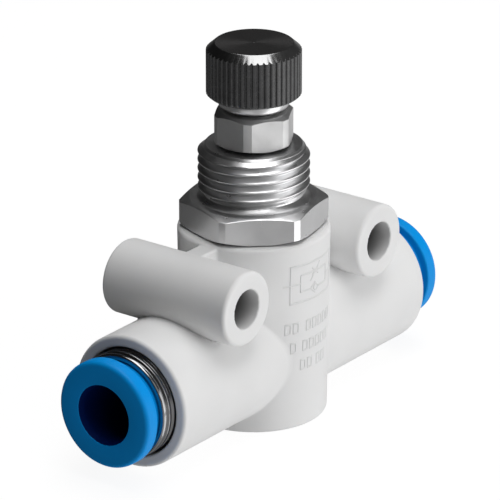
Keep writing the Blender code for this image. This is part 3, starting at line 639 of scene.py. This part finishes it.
# Spindle sizes
SPINDLE_RADIUS = 2.42
SPINDLE_CORE = 2.12
SPINDLE_PITCH = 0.5
SPINDLE_RUNOUT = 0.2
SPINDLE_THREAD_LOW = 26.0
SPINDLE_THREAD_HIGH = 34.05
SPINDLE_STEPS = 48
SPINDLE_SMOOTH_DEGREES = 32
NEEDLE_RADIUS = 0.8
STEM_RADIUS = 1.85
GLAND_RADIUS = 2.52


def make_spindle():
    """Spindle with its needle, collar, gland and the adjusting thread."""
    angles = even_angles(SPINDLE_STEPS)
    bottom, top = SPINDLE_LOW[2], SPINDLE_HIGH[2]
    below = [
        (0.0, bottom), (NEEDLE_RADIUS - 0.05, bottom), (NEEDLE_RADIUS, bottom + 0.05), (1.4, 8.0),
        (STEM_RADIUS, 8.5), (STEM_RADIUS, 12.3), (GLAND_RADIUS, 12.6), (GLAND_RADIUS, 12.9),
        (1.6, 12.9), (1.6, 14.3), (GLAND_RADIUS, 14.3), (GLAND_RADIUS, 17.0),
        (SPINDLE_RADIUS, 17.2), (SPINDLE_RADIUS, 25.7), (SPINDLE_CORE, SPINDLE_THREAD_LOW),
    ]
    above = [
        (SPINDLE_CORE, SPINDLE_THREAD_HIGH), (SPINDLE_CORE, 34.3), (2.0, 34.3),
        (2.0, top - 0.2), (1.8, top), (0.0, top),
    ]
    parts = [
        lathe(below, angles, closed=False),
        thread(
            angles, SPINDLE_PITCH, SPINDLE_CORE, SPINDLE_RADIUS,
            SPINDLE_THREAD_LOW, SPINDLE_THREAD_HIGH, 0.0, SPINDLE_RUNOUT,
        ),
        lathe(above, angles, closed=False),
    ]
    return stitched("spindle_turning", parts, SPINDLE_SMOOTH_DEGREES)


# ---------------------------------------------------------------- push-in ends
RELEASE_FRONT = 26.2
RELEASE_BACK = 24.48
RELEASE_RADIUS = 5.89
RELEASE_MOUTH = 3.4
RELEASE_ROUND = 0.5
COLLAR_START = 16.7


def make_release_ring(side):
    """Blue release ring: rounded flange, flared mouth and the collar that reaches the teeth."""
    return turned(f"{side}_release_collar", [
        (TUBE_BORE_RADIUS, COLLAR_START, 0.0),
        (TUBE_BORE_RADIUS, RELEASE_FRONT - 0.75, RELEASE_ROUND),
        (RELEASE_MOUTH - 0.04, RELEASE_FRONT, 0.08),
        (RELEASE_RADIUS, RELEASE_FRONT, RELEASE_ROUND),
        (RELEASE_RADIUS, RELEASE_BACK, 0.22),
        (5.0, RELEASE_BACK, 0.12),
        (5.0, 22.5, 0.0),
        (5.2, 22.45, 0.1),
        (5.2, 21.8, 0.1),
        (4.4, 21.2, 0.1),
        (4.4, 17.9, 0.1),
        (3.6, COLLAR_START, 0.0),
    ])


SLEEVE_BORE_RADIUS = 5.3
SLEEVE_BACK = 16.45
SLEEVE_RADIUS = 5.8


def make_sleeve(side):
    """Nickel retaining sleeve: rolled front edge with two wide rolled ridges behind it."""
    return turned(f"{side}_sleeve_rolled", [
        (SLEEVE_BORE_RADIUS, SLEEVE_BACK, 0.0),
        (SLEEVE_BORE_RADIUS, 22.7, 0.0),
        (5.15, 22.8, 0.05),
        (5.15, 23.3, 0.12),
        (5.7, 23.3, 0.22),
        (5.78, 22.9, 0.12),
        (5.5, 22.66, 0.08),
        (SLEEVE_RADIUS, 22.4, 0.14),
        (SLEEVE_RADIUS, 22.05, 0.14),
        (5.52, 21.85, 0.08),
        (SLEEVE_RADIUS, 21.6, 0.1),
        (SLEEVE_RADIUS, SLEEVE_BACK, 0.0),
    ])


# ---------------------------------------------------------------- raised marks
MARK_WIDTH = 0.24
MARK_HEIGHT = 0.05
MARK_SINK = 0.06
BLOCK_SIZE = (0.62, 1.05)
BLOCK_LINE = 0.2
SYMBOL_LINE = 0.2
BALL_LINE = 0.18
LONGEST_RUN = 0.5
MARK_SMOOTH_DEGREES = 60
LEAST_BEND = 0.5
# Section of a line from its foot to its crown: (share of the half width, height)
MARK_SECTION = ((1.0, -MARK_SINK), (0.92, MARK_HEIGHT * 0.6), (0.6, MARK_HEIGHT))


def wall_point(along, height, lift):
    """A point on the upright cylinder's front, by distance round it and height."""
    radius = BODY_FOOT_RADIUS + (BODY_RIM_RADIUS - BODY_FOOT_RADIUS) * height / BODY_TOP
    angle = along / radius
    radius += lift
    return (radius * math.sin(angle), -radius * math.cos(angle), height)


def stroke(points, closed=False, width=MARK_WIDTH):
    """A raised line of slightly tapered section through points on the wall."""
    path = [Vector(point) for point in points]
    count = len(path)
    rings = []
    for number in range(count):
        before = path[number - 1] if number or closed else path[number]
        after = path[(number + 1) % count] if number < count - 1 or closed else path[number]
        first = (path[number] - before).normalized()
        second = (after - path[number]).normalized()
        run = (first + second).normalized()
        across = Vector((-run.y, run.x))
        stretch = 1
        if first.length * second.length:
            stretch = 1 / max(LEAST_BEND, math.sqrt(max(0.0, (1 + first.dot(second)) / 2)))
        ring = []
        for reach, lift in MARK_SECTION:
            offset = across * width / 2 * reach * stretch
            ring.append((path[number] + offset, lift))
        for reach, lift in reversed(MARK_SECTION):
            offset = across * width / 2 * reach * stretch
            ring.append((path[number] - offset, lift))
        rings.append([wall_point(spot.x, spot.y, lift) for spot, lift in ring])
    corners = np.array([point for ring in rings for point in ring])
    size = len(rings[0])
    faces = []
    for number in range(count if closed else count - 1):
        low, high = number * size, ((number + 1) % count) * size
        for place in range(size):
            after = (place + 1) % size
            faces.append((low + place, low + after, high + after, high + place))
    if not closed:
        faces.append(tuple(range(size)))
        faces.append(tuple((count - 1) * size + place for place in reversed(range(size))))
    return corners, faces


def fine_line(start, end):
    """Points along a straight line, close enough to follow the wall."""
    count = max(2, math.ceil((Vector(end) - Vector(start)).length / LONGEST_RUN) + 1)
    return [Vector(start).lerp(Vector(end), step / (count - 1)) for step in range(count)]


def arc(centre, radius, start, end, count=12):
    """Points along an arc on the unrolled wall."""
    angles = np.radians(np.linspace(start, end, count))
    return [(centre[0] + radius * math.cos(a), centre[1] + radius * math.sin(a)) for a in angles]


def make_marks():
    """Raised marks: the standard circuit symbol of a throttle with a check valve, and plain blocks."""
    left, right, low, high = -3.5, 3.5, 14.6, 18.8
    middle = (low + high) / 2
    outline = []
    for start, end in (
        ((left, low), (right, low)), ((right, low), (right, high)),
        ((right, high), (left, high)), ((left, high), (left, low)),
    ):
        outline += fine_line(start, end)[:-1]
    parts = [stroke(outline, closed=True)]
    upper, lower = middle + 0.95, middle - 0.95
    for start, end in (
        ((left - 0.9, middle), (-2.2, middle)), ((2.2, middle), (right + 0.9, middle)),
        ((-2.2, lower), (-2.2, upper)), ((2.2, lower), (2.2, upper)),
        ((-2.2, upper), (2.2, upper)), ((-2.2, lower), (-0.75, lower)), ((0.55, lower), (2.2, lower)),
        ((-0.75, lower), (0.0, lower + 0.6)), ((-0.75, lower), (0.0, lower - 0.6)),
        ((-0.8, upper - 1.0), (0.8, upper + 0.85)),
    ):
        parts.append(stroke(fine_line(start, end), width=SYMBOL_LINE))
    parts.append(stroke(arc((0.0, upper + 0.75), 0.6, 215, 325), width=SYMBOL_LINE))
    parts.append(stroke(arc((0.0, upper - 0.75), 0.6, 35, 145), width=SYMBOL_LINE))
    parts.append(stroke(arc((0.1, lower), 0.34, 0, 345, 14), closed=True, width=BALL_LINE))
    rows = (
        (11.7, (-4.05, -3.05, -1.3, -0.3, 0.7, 1.7, 2.7)),
        (9.45, (-3.35, -1.75, -0.75, 0.25, 1.25, 2.25)),
        (7.3, (-2.05, -1.05, 0.45, 1.45)),
    )
    wide, tall = BLOCK_SIZE
    for height, starts in rows:
        foot, head = height - tall / 2, height + tall / 2
        for start in starts:
            end = start + wide
            outline = []
            for one, other in (
                ((start, foot), (end, foot)), ((end, foot), (end, head)),
                ((end, head), (start, head)), ((start, head), (start, foot)),
            ):
                outline += fine_line(one, other)[:-1]
            parts.append(stroke(outline, closed=True, width=BLOCK_LINE))
    return stitched("moulded_marks", parts, MARK_SMOOTH_DEGREES)


# ---------------------------------------------------------------- materials
PER_MM = (1000, 1000, 1000)
GRAIN_DEPTH = 0.00002
WHITE_COLOUR = (0.80, 0.80, 0.80)
BLACK_COLOUR = (0.06, 0.06, 0.061)
RUBBER_COLOUR = (0.018, 0.018, 0.018)
WHITE_SCATTER = (1.0, 0.9, 0.8)
BLUE_SCATTER = (0.3, 0.6, 1.0)
SCATTER_SCALE = 0.0008
UPRIGHT_LINES = (300, 300, 9000)
PORT_LINES = (9000, 300, 300)
SHEET_GRAIN = (4000, 4000, 4000)
FACE_RINGS = 26000.0


def new_material(name, colour, roughness, metallic=0.0):
    """A Principled material, with its node tree and its shader."""
    material = bpy.data.materials.new(name)
    material.use_nodes = True
    shader = material.node_tree.nodes["Principled BSDF"]
    shader.inputs["Base Color"].default_value = (*colour, 1)
    shader.inputs["Roughness"].default_value = roughness
    shader.inputs["Metallic"].default_value = metallic
    return material, material.node_tree, shader


def node(tree, kind, **values):
    """Add a shader node and set its inputs or properties by name."""
    made = tree.nodes.new(kind)
    for name, value in values.items():
        socket = name.replace("_", " ").title()
        if socket in made.inputs:
            made.inputs[socket].default_value = value
        else:
            setattr(made, name, value)
    return made


def noise_colour(tree, shader, colour, spread, scale, coords):
    """Vary the base colour a little with a soft noise."""
    noise = node(tree, "ShaderNodeTexNoise", scale=scale, detail=3.0)
    tree.links.new(coords, noise.inputs["Vector"])
    ramp = node(tree, "ShaderNodeValToRGB")
    ramp.color_ramp.elements[0].position = 0.3
    ramp.color_ramp.elements[1].position = 0.7
    ramp.color_ramp.elements[0].color = (*[c * (1 - spread) for c in colour], 1)
    ramp.color_ramp.elements[1].color = (*[min(1, c * (1 + spread)) for c in colour], 1)
    tree.links.new(noise.outputs["Fac"], ramp.inputs["Fac"])
    tree.links.new(ramp.outputs["Color"], shader.inputs["Base Color"])


def rough_noise(tree, shader, low, high, scale, coords):
    """Vary the roughness between two values."""
    noise = node(tree, "ShaderNodeTexNoise", scale=scale, detail=4.0)
    tree.links.new(coords, noise.inputs["Vector"])
    span = node(tree, "ShaderNodeMapRange")
    span.inputs["To Min"].default_value = low
    span.inputs["To Max"].default_value = high
    tree.links.new(noise.outputs["Fac"], span.inputs["Value"])
    tree.links.new(span.outputs["Result"], shader.inputs["Roughness"])


def bump(tree, shader, height, strength):
    """Add a bump from a height output."""
    made = node(tree, "ShaderNodeBump", strength=strength, distance=GRAIN_DEPTH)
    tree.links.new(height, made.inputs["Height"])
    tree.links.new(made.outputs["Normal"], shader.inputs["Normal"])


def scaled(tree, scale):
    """Object coordinates multiplied by a vector."""
    coords = node(tree, "ShaderNodeTexCoord")
    mapping = node(tree, "ShaderNodeMapping")
    mapping.inputs["Scale"].default_value = scale
    tree.links.new(coords.outputs["Object"], mapping.inputs["Vector"])
    return mapping.outputs["Vector"]


def moulded_plastic(name, colour, roughness, grain, subsurface, radius, gloss=0.3):
    """Moulded plastic: faint colour drift, fine spark-eroded grain and a little light inside."""
    material, tree, shader = new_material(name, colour, roughness)
    coords = scaled(tree, PER_MM)
    noise_colour(tree, shader, colour, 0.025, 0.12, coords)
    rough_noise(tree, shader, roughness - 0.05, roughness + 0.07, 0.6, coords)
    fine = node(tree, "ShaderNodeTexNoise", scale=7.0, detail=5.0)
    tree.links.new(coords, fine.inputs["Vector"])
    bump(tree, shader, fine.outputs["Fac"], grain)
    shader.inputs["Specular IOR Level"].default_value = gloss
    shader.inputs["Subsurface Weight"].default_value = subsurface
    shader.inputs["Subsurface Radius"].default_value = radius
    shader.inputs["Subsurface Scale"].default_value = SCATTER_SCALE
    return material


def turned_metal(name, colour, roughness, line_scale, line_strength, metallic=1.0):
    """Turned metal: fine lines round the axis, soft plating variation."""
    material, tree, shader = new_material(name, colour, roughness, metallic)
    coords = scaled(tree, PER_MM)
    noise_colour(tree, shader, colour, 0.05, 0.35, coords)
    rough_noise(tree, shader, roughness * 0.75, roughness * 1.35, 0.9, coords)
    stretched = scaled(tree, line_scale)
    lines = node(tree, "ShaderNodeTexNoise", scale=1.0, detail=4.0)
    tree.links.new(stretched, lines.inputs["Vector"])
    bump(tree, shader, lines.outputs["Fac"], line_strength)
    return material


def anodised(name):
    """Black anodised aluminium with a faint satin grain."""
    material, tree, shader = new_material(name, BLACK_COLOUR, 0.3)
    coords = scaled(tree, PER_MM)
    noise_colour(tree, shader, BLACK_COLOUR, 0.15, 0.8, coords)
    rough_noise(tree, shader, 0.2, 0.34, 1.5, coords)
    grain = node(tree, "ShaderNodeTexNoise", scale=9.0, detail=3.0)
    tree.links.new(coords, grain.inputs["Vector"])
    bump(tree, shader, grain.outputs["Fac"], 0.12)
    return material


def anodised_face(name):
    """The knob's top face: lathe rings that stretch highlights across the centre."""
    material, tree, shader = new_material(name, (0.07, 0.068, 0.068), 0.26, 0.7)
    coords = node(tree, "ShaderNodeTexCoord")
    split = node(tree, "ShaderNodeSeparateXYZ")
    tree.links.new(coords.outputs["Object"], split.inputs["Vector"])
    flat = node(tree, "ShaderNodeCombineXYZ")
    tree.links.new(split.outputs["X"], flat.inputs["X"])
    tree.links.new(split.outputs["Y"], flat.inputs["Y"])
    length = node(tree, "ShaderNodeVectorMath", operation="LENGTH")
    tree.links.new(flat.outputs["Vector"], length.inputs[0])
    times = node(tree, "ShaderNodeMath", operation="MULTIPLY")
    times.inputs[1].default_value = FACE_RINGS
    tree.links.new(length.outputs["Value"], times.inputs[0])
    rings = node(tree, "ShaderNodeTexNoise", noise_dimensions="1D", scale=1.0, detail=5.0)
    tree.links.new(times.outputs["Value"], rings.inputs["W"])
    bump(tree, shader, rings.outputs["Fac"], 0.35)
    shader.inputs["Anisotropic"].default_value = 0.85
    tangent = node(tree, "ShaderNodeTangent", direction_type="RADIAL", axis="Z")
    tree.links.new(tangent.outputs["Tangent"], shader.inputs["Tangent"])
    return material


def rubber_material(name):
    """Matt nitrile rubber with a dusty bloom."""
    material, tree, shader = new_material(name, RUBBER_COLOUR, 0.65)
    coords = scaled(tree, PER_MM)
    noise_colour(tree, shader, RUBBER_COLOUR, 0.3, 1.2, coords)
    rough_noise(tree, shader, 0.55, 0.8, 2.0, coords)
    fine = node(tree, "ShaderNodeTexNoise", scale=12.0, detail=3.0)
    tree.links.new(coords, fine.inputs["Vector"])
    bump(tree, shader, fine.outputs["Fac"], 0.2)
    return material


def bore_plastic_painted_shade(name, rim_colour, shade_colour, deep_half, rim_half):
    """Moulded plastic inside a hole along Y: the rim's colour at both ends, darkened in the depth by
    painted shade.
    """
    material = moulded_plastic(name, rim_colour, 0.5, 0.10, 0.0, WHITE_SCATTER, 0.15)
    tree = material.node_tree
    shader = tree.nodes["Principled BSDF"]
    coords = node(tree, "ShaderNodeTexCoord")
    split = node(tree, "ShaderNodeSeparateXYZ")
    tree.links.new(coords.outputs["Object"], split.inputs["Vector"])
    reach = node(tree, "ShaderNodeMath", operation="ABSOLUTE")
    tree.links.new(split.outputs["Y"], reach.inputs[0])
    share = node(tree, "ShaderNodeMapRange", interpolation_type="SMOOTHSTEP")
    share.inputs["From Min"].default_value = deep_half * MM
    share.inputs["From Max"].default_value = rim_half * MM
    tree.links.new(reach.outputs["Value"], share.inputs["Value"])
    ramp = node(tree, "ShaderNodeValToRGB")
    ramp.color_ramp.elements[0].color = (*shade_colour, 1)
    ramp.color_ramp.elements[1].color = (*rim_colour, 1)
    tree.links.new(share.outputs["Result"], ramp.inputs["Fac"])
    tree.links.new(ramp.outputs["Color"], shader.inputs["Base Color"])
    return material


WHITE = moulded_plastic("white_moulding", WHITE_COLOUR, 0.46, 0.10, 0.08, WHITE_SCATTER)
# The white moulding with painted shade that darkens it deep inside the fixing holes.
WHITE_BORE_PAINTED_SHADE = bore_plastic_painted_shade("white_bore_painted_shade", WHITE_COLOUR, (0.16, 0.16, 0.16), 4.6, 7.9)
# The raised marks are the housing's white made a little darker: painted shade along their low relief.
MARK_PAINTED_SHADE = moulded_plastic("marks_painted_shade", (0.755, 0.755, 0.755), 0.5, 0.10, 0.08, WHITE_SCATTER)
# Dark navy for the release ring's bore: painted shade inside the mouth of a ring that is blue
# throughout.
BLUE_BORE_PAINTED_SHADE = moulded_plastic("blue_bore_painted_shade", (0.0, 0.01, 0.09), 0.6, 0.08, 0.0, BLUE_SCATTER, 0.05)
BLUE = moulded_plastic("blue_moulding", (0.0, 0.3, 0.8), 0.45, 0.08, 0.03, BLUE_SCATTER, 0.14)
NATURAL = moulded_plastic("natural_moulding", (0.70, 0.68, 0.62), 0.5, 0.12, 0.1, (1.0, 0.8, 0.6))
NICKEL = turned_metal("nickel_plate", (0.67, 0.67, 0.675), 0.29, UPRIGHT_LINES, 0.22)
NICKEL_NUT = turned_metal("nickel_plate_nut", (0.64, 0.64, 0.64), 0.52, UPRIGHT_LINES, 0.22)
# A much darker copy of the nickel plate for the sleeves: painted shade for their place between the blue
# flange and the housing.
NICKEL_PORT_PAINTED_SHADE = turned_metal("nickel_sleeve_painted_shade", (0.28, 0.28, 0.285), 0.16, PORT_LINES, 0.3)
STAINLESS = turned_metal("stainless_sheet", (0.58, 0.58, 0.58), 0.28, SHEET_GRAIN, 0.15)
BRASS = turned_metal("turned_brass", (0.66, 0.46, 0.19), 0.24, UPRIGHT_LINES, 0.25)
BLACK = anodised("black_anodised_side")
BLACK_FACE = anodised_face("black_anodised_face")
# A lighter grey metal copy of the black anodising for the knob's chamfer: painted highlight for the
# bright band the overhead light lays along it.
BLACK_CHAMFER_PAINTED_HIGHLIGHT = turned_metal("black_chamfer_painted_highlight", (0.26, 0.26, 0.26), 0.2, UPRIGHT_LINES, 0.1)
RUBBER = rubber_material("nitrile_rubber")


def dress(piece, material):
    """Give a piece one material."""
    piece.data.materials.clear()
    piece.data.materials.append(material)
    return piece


# ---------------------------------------------------------------- the pieces in place
BORE_RIM = 0.12
ON_THE_WALL = 0.02
FACE_BAND = 0.3
FACE_EDGE = 0.05
CHAMFER_SLOPE = 0.4
MOUTH_LIP = 0.06

housing = dress(make_housing(), WHITE)
# Faces inside the fixing holes get a second slot whose colour is painted shade, darker with depth.
housing.data.materials.append(WHITE_BORE_PAINTED_SHADE)
for face in housing.data.polygons:
    spot = face.center / MM
    from_axis = math.hypot(abs(spot.x) - BOSS_X, spot.z - BOSS_Z)
    in_depth = BOSS_FRONT + BORE_RIM < spot.y < BOSS_BACK - BORE_RIM
    if from_axis < BOSS_HOLE_RADIUS + ON_THE_WALL and in_depth:
        face.material_index = 1
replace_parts(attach(housing, "valve_body"), "housing")

# The marks wear the darker white, painted shade.
marks = dress(make_marks(), MARK_PAINTED_SHADE)
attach(marks, "valve_body")

bonnet = dress(make_bonnet(), NICKEL)
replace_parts(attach(bonnet, "valve_body"), "bonnet")

lock_nut = dress(make_lock_nut(), NICKEL_NUT)
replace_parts(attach(lock_nut, "lock_nut_body"), "lock_nut")

knob = dress(make_knob(), BLACK)
knob.data.materials.append(BLACK_FACE)
knob.data.materials.append(BLACK_CHAMFER_PAINTED_HIGHLIGHT)
# Top-face faces get the lathe-ring face; other upward-facing faces, the chamfer, get the lighter metal
# of the painted highlight.
for face in knob.data.polygons:
    near_top = face.center.z > (KNOB_HIGH[2] - FACE_BAND) * MM
    if near_top and face.center.xy.length < (KNOB_TOP_RADIUS - FACE_EDGE) * MM:
        face.material_index = 1
    elif face.normal.z > CHAMFER_SLOPE:
        face.material_index = 2
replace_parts(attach(knob, "adjuster"), "knob")

hub = dress(make_hub(), NICKEL)
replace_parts(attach(hub, "adjuster"), "knob_hub")

spindle = dress(make_spindle(), NICKEL)
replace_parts(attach(spindle, "adjuster"), "spindle")

for side, sign in (("left", -1), ("right", 1)):
    place = Matrix.Translation((0, 0, TUBE_AXIS * MM)) @ Matrix.Rotation(sign * TURN / 4, 4, "Y")
    collar = dress(make_release_ring(side), BLUE)
    # Faces inside the release ring's mouth take the dark navy, painted shade.
    collar.data.materials.append(BLUE_BORE_PAINTED_SHADE)
    for face in collar.data.polygons:
        in_mouth = face.center.xy.length < RELEASE_MOUTH * MM
        if in_mouth and face.center.z < (RELEASE_FRONT - MOUTH_LIP) * MM:
            face.material_index = 1
    collar.data.transform(place)
    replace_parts(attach(collar, f"{side}_release"), f"{side}_release_ring")
    # The sleeve takes the darkened nickel, painted shade.
    sleeve = dress(make_sleeve(side), NICKEL_PORT_PAINTED_SHADE)
    sleeve.data.transform(place)
    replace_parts(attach(sleeve, "valve_body"), f"{side}_retaining_sleeve")
    dress(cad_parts[f"{side}_grab_ring"], STAINLESS)
    dress(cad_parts[f"{side}_support_ring"], NATURAL)
    dress(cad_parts[f"{side}_tube_seal"], RUBBER)

dress(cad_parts["bonnet_o_ring"], RUBBER)
dress(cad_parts["spindle_o_ring"], RUBBER)
dress(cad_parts["check_lip_seal"], RUBBER)
dress(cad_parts["valve_seat"], BRASS)


# ---------------------------------------------------------------- floor, light and camera
BRIGHT_SIDE = (0.5, -0.87, 0.0)
SURROUND_DARK = 0.1
SURROUND_BRIGHT = 0.82
SURROUND_ABOVE = 0.15
DARK_FACING = -0.35
FADE_START = -0.15
FADE_END = 0.2
FLOOR_REACH = 6.0
FLOOR_DROP = 0.00002
FLOOR_GLOW = 0.92
AIM = (0, 0, 0.02)
CAMERA_AZIMUTH = math.radians(-53.311)
CAMERA_ELEVATION = math.radians(21.977)
CAMERA_LENS = 360.9
CAMERA_SENSOR = 36.0
CAMERA_BACK = 540.2
CAMERA_RIGHT = -0.407
CAMERA_UP = 9.344


def make_floor():
    """A wide pale floor, a hair under the housing's foot."""
    mesh = bpy.data.meshes.new("floor")
    signs = ((-1, -1), (1, -1), (1, 1), (-1, 1))
    corners = [(x * FLOOR_REACH, y * FLOOR_REACH, 0) for x, y in signs]
    mesh.from_pydata(corners, [], [(0, 1, 2, 3)])
    floor = bpy.data.objects.new("floor", mesh)
    bpy.context.scene.collection.objects.link(floor)
    floor.location.z = -FLOOR_DROP
    floor.visible_diffuse = False
    floor.visible_glossy = False
    floor.visible_shadow = False
    material, _, shader = new_material("pale_floor", (0.1, 0.1, 0.1), 0.9)
    shader.inputs["Emission Color"].default_value = (1, 1, 1, 1)
    shader.inputs["Emission Strength"].default_value = FLOOR_GLOW
    mesh.materials.append(material)


def area_light(name, direction, distance, size, watts):
    """A rectangular softbox that looks at the middle of the valve from a direction."""
    light = bpy.data.lights.new(name, "AREA")
    light.shape = "RECTANGLE"
    light.size, light.size_y = size
    light.energy = watts
    lamp = bpy.data.objects.new(name, light)
    bpy.context.scene.collection.objects.link(lamp)
    aim = Vector(AIM)
    lamp.location = aim + Vector(direction).normalized() * distance
    lamp.rotation_euler = (aim - lamp.location).to_track_quat("-Z", "Y").to_euler()


def make_world():
    """A surround like a lit table top: pale below on the right, dim on the left and overhead."""
    world = bpy.data.worlds.new("studio")
    bpy.context.scene.world = world
    world.use_nodes = True
    tree = world.node_tree
    coords = node(tree, "ShaderNodeTexCoord")
    facing = node(tree, "ShaderNodeVectorMath", operation="DOT_PRODUCT")
    facing.inputs[1].default_value = Vector(BRIGHT_SIDE).normalized()
    tree.links.new(coords.outputs["Generated"], facing.inputs[0])
    across = node(tree, "ShaderNodeMapRange")
    across.inputs["From Min"].default_value = DARK_FACING
    across.inputs["From Max"].default_value = 1.0
    across.inputs["To Min"].default_value = SURROUND_DARK
    across.inputs["To Max"].default_value = SURROUND_BRIGHT
    tree.links.new(facing.outputs["Value"], across.inputs["Value"])
    split = node(tree, "ShaderNodeSeparateXYZ")
    tree.links.new(coords.outputs["Generated"], split.inputs["Vector"])
    upward = node(tree, "ShaderNodeMapRange", interpolation_type="SMOOTHSTEP")
    upward.inputs["From Min"].default_value = FADE_START
    upward.inputs["From Max"].default_value = FADE_END
    upward.inputs["To Min"].default_value = 1.0
    upward.inputs["To Max"].default_value = SURROUND_ABOVE
    tree.links.new(split.outputs["Z"], upward.inputs["Value"])
    product = node(tree, "ShaderNodeMath", operation="MULTIPLY")
    tree.links.new(across.outputs["Result"], product.inputs[0])
    tree.links.new(upward.outputs["Result"], product.inputs[1])
    background = tree.nodes["Background"]
    background.inputs["Color"].default_value = (1, 1, 1, 1)
    tree.links.new(product.outputs["Value"], background.inputs["Strength"])


def make_camera():
    """The camera, on a long lens at the valve's left front."""
    level = math.cos(CAMERA_ELEVATION)
    back = Vector((
        math.sin(CAMERA_AZIMUTH) * level,
        -math.cos(CAMERA_AZIMUTH) * level,
        math.sin(CAMERA_ELEVATION),
    ))
    right = Vector((math.cos(CAMERA_AZIMUTH), math.sin(CAMERA_AZIMUTH), 0))
    up = back.cross(right)
    data = bpy.data.cameras.new("camera")
    data.lens = CAMERA_LENS
    data.sensor_width = CAMERA_SENSOR
    camera = bpy.data.objects.new("camera", data)
    bpy.context.scene.collection.objects.link(camera)
    offset = back * CAMERA_BACK + right * CAMERA_RIGHT + up * CAMERA_UP
    position = (Vector((0, 0, TUBE_AXIS)) + offset) * MM
    turn = Matrix((right, up, back)).transposed().to_4x4()
    camera.matrix_world = Matrix.Translation(position) @ turn
    bpy.context.scene.camera = camera


make_floor()
make_world()
make_camera()
area_light("low_key", (0.35, -0.9, 0.08), 0.6, (0.5, 0.4), 1.06)
area_light("high_key", (-0.22, -0.82, 0.53), 0.6, (0.5, 0.4), 0.35)
area_light("top", (0.07, -0.07, 1.0), 0.5, (0.6, 0.3), 2.16)
area_light("bounce", (0.2, -0.75, -0.6), 0.6, (0.5, 0.4), 0.86)
area_light("left_bounce", (-0.8, -0.2, -0.55), 0.6, (0.4, 0.4), 0.25)
bpy.context.scene.view_settings.view_transform = "Standard"
